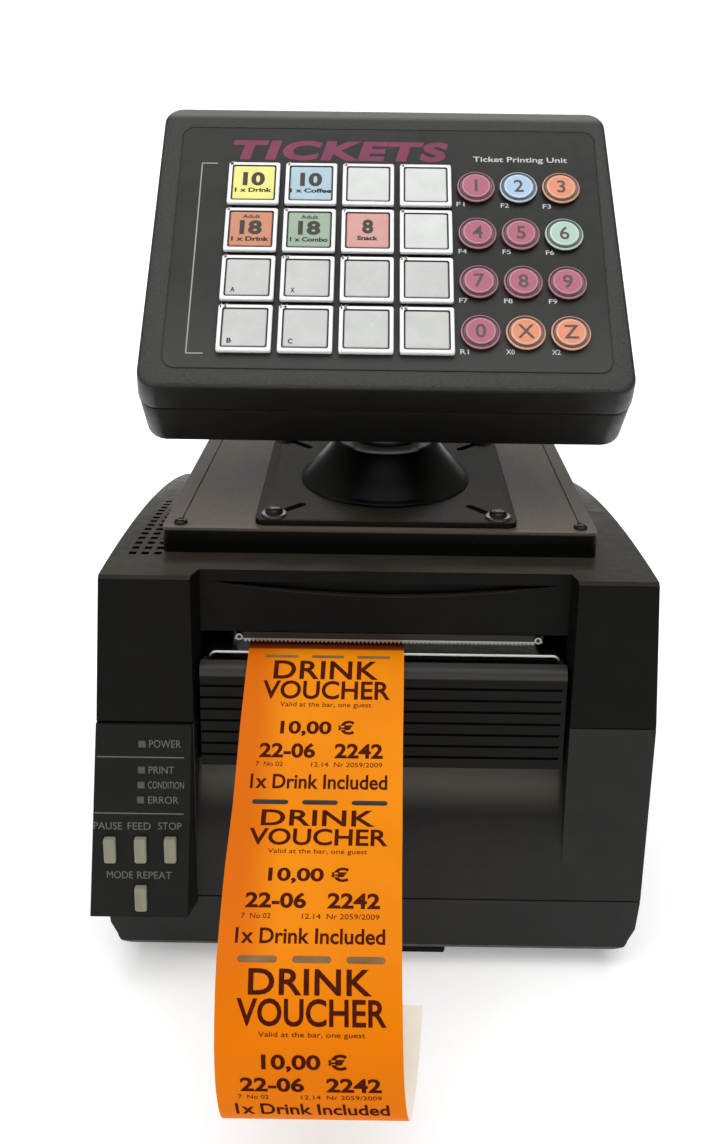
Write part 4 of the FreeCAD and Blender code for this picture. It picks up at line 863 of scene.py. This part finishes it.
for tx, ty in ((-80.1, -106.6), (81.7, -106.6), (-72.3, 5.4), (76.8, 5.4)):
    b.loft([circle(r, h, 28, tx, ty) for r, h in (
        (2.8, pz), (2.8, pz + 0.6), (2.6, pz + 0.95), (2.1, pz + 1.35),
        (1.4, pz + 1.55), (0.9, pz + 1.25))], [1] * 6)
heads = b.make("screws_of_plate", [M["washer"], M["black_screw"],
                                   M["dark"]], "cover", 35)
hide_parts("mount_screws")

# the guide's two turned-down ends and the bar's teeth, as bright edges
b = Build()
for x in (-66.5, 71.6):
    b.box(x, x + 0.5, -136.45, -136.1, 138.2, 141.6, 0.1)
b.make("guide_ends", [M["steel"]], "base", 30)
b = Build()
tz = 146.4
b.quad((-56.5, -132.96, tz + 1.4), (65.4, -132.96, tz + 1.4),
       (65.4, -132.96, tz + 1.9), (-56.5, -132.96, tz + 1.9))
x = -53.0
while x < 61.9:
    i = len(b.v)
    b.v += [(x, -132.96, tz + 1.4), (x + 0.8, -132.96, tz + 0.05),
            (x + 1.6, -132.96, tz + 1.4)]
    b.f.append((i, i + 1, i + 2))
    b.m.append(0)
    x += 1.6
for x in (-54.6, 63.4):
    n = 20
    ring = [(x + 1.45 * math.cos(2 * math.pi * k / n), -133.95,
             tz + 2.9 + 1.45 * math.sin(2 * math.pi * k / n))
            for k in range(n)]
    inner = [(x + 0.8 * (p[0] - x) / 1.45, -133.95,
              tz + 2.9 + 0.8 * (p[2] - tz - 2.9) / 1.45) for p in ring]
    i = len(b.v)
    b.v += ring + inner
    for k in range(n):
        j = (k + 1) % n
        b.f.append((i + k, i + j, i + n + j, i + n + k))
        b.m.append(0)
b.make("bar_teeth", [M["teeth"]], "cover", 0)

# ============================================================ control panel
def cp(p):
    """(x, z, out) on the control panel's sloping front."""
    x, z, o = p
    return (x, -145.3 - (116.2 - z) * 0.1147 - o, z)


b = Build(cp)


def cpq(x0, x1, z0, z1, k=0, o=0.06):
    b.quad((x0, z0, o), (x1, z0, o), (x1, z1, o), (x0, z1, o), k)


cpq(-110.6, -75.9, 102.1, 102.6)
cpq(-112.2, -76.4, 78.05, 78.55)
for s, x0, x1, z, hgt in (("POWER", -89.7, -77.1, 106.5, 3.2),
                          ("PRINT", -90.1, -80.0, 95.5, 3.0),
                          ("CONDITION", -90.4, -76.1, 89.1, 3.0),
                          ("ERROR", -90.5, -78.4, 82.7, 3.0),
                          ("PAUSE", -112.6, -101.1, 71.3, 3.1),
                          ("FEED", -98.9, -89.7, 71.3, 3.1),
                          ("STOP", -86.7, -77.3, 71.5, 3.1),
                          ("MODE", -107.7, -97.2, 50.0, 3.1),
                          ("REPEAT", -95.5, -81.6, 50.0, 3.1)):
    b.text(s, x0, x1, z, z + hgt, 0, 0.0, z=0.08)
b.make("panel_marks", [M["ink_panel"]], "base", 0)

for n, x, z in (("button_pause", -106.2, 62.4), ("button_feed", -93.9, 62.6),
                ("button_stop", -81.9, 62.8), ("button_mode", -94.1, 41.4)):
    y0 = -145.3 - (116.2 - z) * 0.1147

    def bp(p, y0=y0, z=z):
        return (p[0], y0 - p[2] + (p[1] - z) * 0.1147 * 0, p[1])

    b = Build(bp)
    back = y0 + 143.6

    def br(w, h, o, rad=0.8, x=x, z=z):
        return rring(w, h, rad, o, 5, x, z)

    b.loft([br(2.45, 5.5, y0 + 143.7), br(2.45, 5.5, 1.0),
            br(2.4, 5.45, 1.45), br(2.2, 5.25, 1.7), br(1.95, 5.0, 1.78),
            br(1.5, 4.4, 1.66), br(0.8, 3.4, 1.58, 0.6)])
    key = b.make("push_" + n, [M["beige"]], n + "_body", 50)
    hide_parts(n)

# =============================================================== the ticket
W = [(31.3, 119.8, 0), (-40.0, 132.55, 0), (-112.9, 145.6, 0),
     (-132.5, 145.4, 0), (-139.5, 145.0, 0), (-149.0, 141.6, -0.2),
     (-160.0, 136.7, -0.4), (-171.0, 130.8, -0.7), (-184.0, 123.2, -0.9),
     (-196.3, 115.9, -1.1), (-205.0, 113.3, -1.2), (-215.0, 110.1, -1.4),
     (-225.0, 106.2, -1.6), (-236.0, 100.9, -1.7), (-250.8, 92.9, -1.8),
     (-257.0, 86.8, -1.7), (-263.0, 79.0, -1.5), (-268.0, 69.6, -1.2),
     (-270.6, 60.0, -0.7), (-271.4, 53.0, 0.0), (-270.6, 47.4, 0.8),
     (-267.6, 43.6, 1.7), (-263.2, 42.6, 2.6), (-259.0, 44.6, 3.4),
     (-255.6, 49.0, 4.1), (-252.6, 55.0, 4.7), (-249.4, 63.6, 5.3),
     (-246.6, 73.6, 5.7)]
KINKS = (2, 4, 9, 14)            # places where the strip is not smooth
ZERO = 4                         # lengths along the strip start here


def chord(i):
    return math.hypot(W[i + 1][0] - W[i][0], W[i + 1][1] - W[i][1])


S = [0.0]
for i in range(len(W) - 1):
    S.append(S[-1] + chord(i))
S = [s - S[ZERO] for s in S]


def tangent(i, side):
    """Slope at a station, from one side at a kink."""
    lo, hi = max(i - 1, 0), min(i + 1, len(W) - 1)
    if i in KINKS:
        lo, hi = (i, hi) if side > 0 else (lo, i)
    d = S[hi] - S[lo]
    return tuple((W[hi][k] - W[lo][k]) / d for k in range(3))


def strip_at(s):
    i = 0
    while i < len(W) - 2 and S[i + 1] < s:
        i += 1
    h = S[i + 1] - S[i]
    t = (s - S[i]) / h
    a, c = W[i], W[i + 1]
    m0, m1 = tangent(i, 1), tangent(i + 1, -1)
    h00, h10 = 2 * t ** 3 - 3 * t * t + 1, t ** 3 - 2 * t * t + t
    h01, h11 = -2 * t ** 3 + 3 * t * t, t ** 3 - t * t
    return tuple(h00 * a[k] + h10 * h * m0[k] + h01 * c[k]
                 + h11 * h * m1[k] for k in range(3))


def strip_point(x, s, off):
    """x across the strip from its centre line, s along it, off its face."""
    y, z, sh = strip_at(s)
    y1, z1, _ = strip_at(s + 0.2)
    y0, z0, _ = strip_at(s - 0.2)
    d = math.hypot(y1 - y0, z1 - z0) or 1
    ty, tz = (y1 - y0) / d, (z1 - z0) / d
    crown = 0.0
    return (-20.0 + sh + x, y + tz * off, z - ty * off + crown)


b = Build()
steps = []
s = S[0] + 0.3
while s < S[-1] - 0.3:
    steps.append(s)
    s += 1.6 if s > -8 else 8.0
for i in (9, 14):
    steps.append(S[i] - 0.25)
    steps.append(S[i] + 0.25)
steps = sorted(steps)
across = [-30.5 + 61.0 * i / 12 for i in range(13)]
top = [[strip_point(x, s, 0.08) for x in across] for s in steps]
bot = [[strip_point(x, s, -0.08) for x in across] for s in steps]
n = len(across)
for row in top:
    b.v += row
off = len(b.v)
for row in bot:
    b.v += row
for j in range(len(steps) - 1):
    for i in range(n - 1):
        p = j * n + i
        b.f.append((p, p + n, p + n + 1, p + 1))
        b.m.append(0)
        q = off + p
        b.f.append((q, q + 1, q + n + 1, q + n))
        b.m.append(1)
    for i, flip in ((0, False), (n - 1, True)):
        p, q = j * n + i, off + j * n + i
        f = (p, q, q + n, p + n)
        b.f.append(f if not flip else f[::-1])
        b.m.append(1)
for j, flip in ((0, True), (len(steps) - 1, False)):
    for i in range(n - 1):
        p, q = j * n + i, off + j * n + i
        f = (p, p + 1, q + 1, q)
        b.f.append(f if flip else f[::-1])
        b.m.append(1)
strip = b.make("ticket", [M["paper"], M["paper_back"]], "base", 30)
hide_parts("ticket_strip")

b = Build()


def on_strip(p):
    return strip_point(p[0] + 1.0, -p[1], 0.15)


def line(s, x0, x1, s0, s1, bold=0.02, k=0, space=1.0):
    b.text(s, x0, x1, -s1, -s0, k, bold, fn=on_strip, space=space,
           slices=max(2, int((s1 - s0) / 1.0)))


def dash(x0, x1, s0, s1, k):
    n = 6
    r = (s1 - s0) / 2
    c = (s0 + s1) / 2
    ring = []
    for i in range(n + 1):
        a = math.radians(90 - 180 * i / n)
        ring.append((x1 - r + r * math.cos(a), c - r * math.sin(a)))
    for i in range(n + 1):
        a = math.radians(-90 - 180 * i / n)
        ring.append((x0 + r + r * math.cos(a), c - r * math.sin(a)))
    i0 = len(b.v)
    b.v += [strip_point(x + 1.0, s, 0.15) for x, s in ring]
    b.f.append(tuple(range(i0, i0 + len(ring)))[::-1])
    b.m.append(k)


for row in (
        ((3.5, 12.4), (13.4, 21.6), (23.2, 25.2), (31.1, 36.6),
         (40.6, 46.3), (48.2, 50.0), (53.1, 58.6)),
        ((67.4, 74.2), (75.5, 82.3), (84.0, 85.8), (91.2, 96.3),
         (100.6, 105.9), (108.0, 109.8), (113.0, 118.1)),
        ((126.3, 134.1), (135.3, 143.4), (145.3, 146.8), (151.9, 156.8),
         (159.7, 164.3), (165.7, 167.1), (168.9, 173.3))):
    h1, h2, sm, pr, dt, sm2, inc = row
    line("DRINK", -20.8, 19.6, *h1, bold=0.018, space=1.05)
    line("VOUCHER", -24.4, 24.3, *h2, bold=0.018)
    line("Valid at the bar, one guest", -17.3, 17.3, *sm, bold=0.0)
    line("10,00 €", -16.4, 11.3, *pr, bold=0.028)
    line("22-06", -23.5, -2.9, *dt, bold=0.03)
    line("2242", 4.3, 22.1, *dt, bold=0.03)
    line("7  No 02", -24.5, -14.6, *sm2, bold=0.0)
    line("12.14  Nr 2059/2009", -4.1, 21.9, *sm2, bold=0.0)
    line("1x Drink Included", -25.9, 23.9, *inc, bold=0.02)
for s0, s1, kk in ((0.6, 2.0, 1), (63.1, 65.0, 2), (122.3, 124.5, 1)):
    for x0, x1 in ((-24.7, -11.6), (-6.6, 6.2), (11.2, 24.1)):
        dash(x0, x1, s0, s1, kk)
b.make("ticket_print", [M["ink_brown"], M["mark_grey"], M["ink_black"]],
       "base", 0)

# ==================================================== floor, light, camera
bpy.ops.mesh.primitive_plane_add(size=60, location=(0, 0, 0))
floor = bpy.context.object
floor.name = "floor"
fm, nt, bs = nodes_of("floor_white")
bs.inputs["Base Color"].default_value = (0.88, 0.88, 0.88, 1)
bs.inputs["Roughness"].default_value = 0.9
bs.inputs["Specular IOR Level"].default_value = 0.05
bs.inputs["Emission Color"].default_value = (1, 1, 1, 1)
bs.inputs["Emission Strength"].default_value = 0.34
floor.data.materials.append(fm)

world = bpy.data.worlds.new("studio")
world.use_nodes = True
world.node_tree.nodes["Background"].inputs[0].default_value = (1, 1, 1, 1)
world.node_tree.nodes["Background"].inputs[1].default_value = 0.10
bpy.context.scene.world = world


def area(name, loc, target, size, power, sy=None):
    li = bpy.data.lights.new(name, "AREA")
    li.energy = power
    li.size = size
    if sy:
        li.shape = "RECTANGLE"
        li.size_y = sy
    o = bpy.data.objects.new(name, li)
    o.location = loc
    d = Vector(target) - Vector(loc)
    o.rotation_euler = d.to_track_quat("-Z", "Y").to_euler()
    bpy.context.scene.collection.objects.link(o)
    return o


sun_data = bpy.data.lights.new("soft_sun", "SUN")
sun_data.energy = 2.85
sun_data.angle = math.radians(75)
sun = bpy.data.objects.new("soft_sun", sun_data)
sun.rotation_euler = Vector((0.01, 0.18, -0.98)).to_track_quat(
    "-Z", "Y").to_euler()
bpy.context.scene.collection.objects.link(sun)
area("back_light", (0.0, 1.7, 1.3), (0, 0, 0.2), 1.8, 12, 0.6)
area("left_light", (-1.4, -0.5, 0.9), (0, 0, 0.2), 0.5, 2.5)

cam_data = bpy.data.cameras.new("camera")
cam = bpy.data.objects.new("camera", cam_data)
bpy.context.scene.collection.objects.link(cam)
right = Vector((0.99990, 0.00721, 0.01221))
down = Vector((0.01384, -0.30916, -0.95091))
fwd = Vector((-0.00308, 0.95098, -0.30923))
rot = Matrix((right, -down, -fwd)).transposed()
cam.matrix_world = (Matrix.Translation((-0.00519, -0.6354, 0.4114))
                    @ rot.to_4x4())
cam_data.sensor_width = 36
cam_data.sensor_fit = "AUTO"
cam_data.lens = 1413.8 / 1144 * 36
cam_data.shift_x = -(363.2 - 363.0) / 1144
cam_data.shift_y = -(572.0 - 399.8) / 1144
cam_data.clip_start = 0.02
cam_data.clip_end = 100
bpy.context.scene.camera = cam
bpy.context.scene.view_settings.view_transform = "Standard"
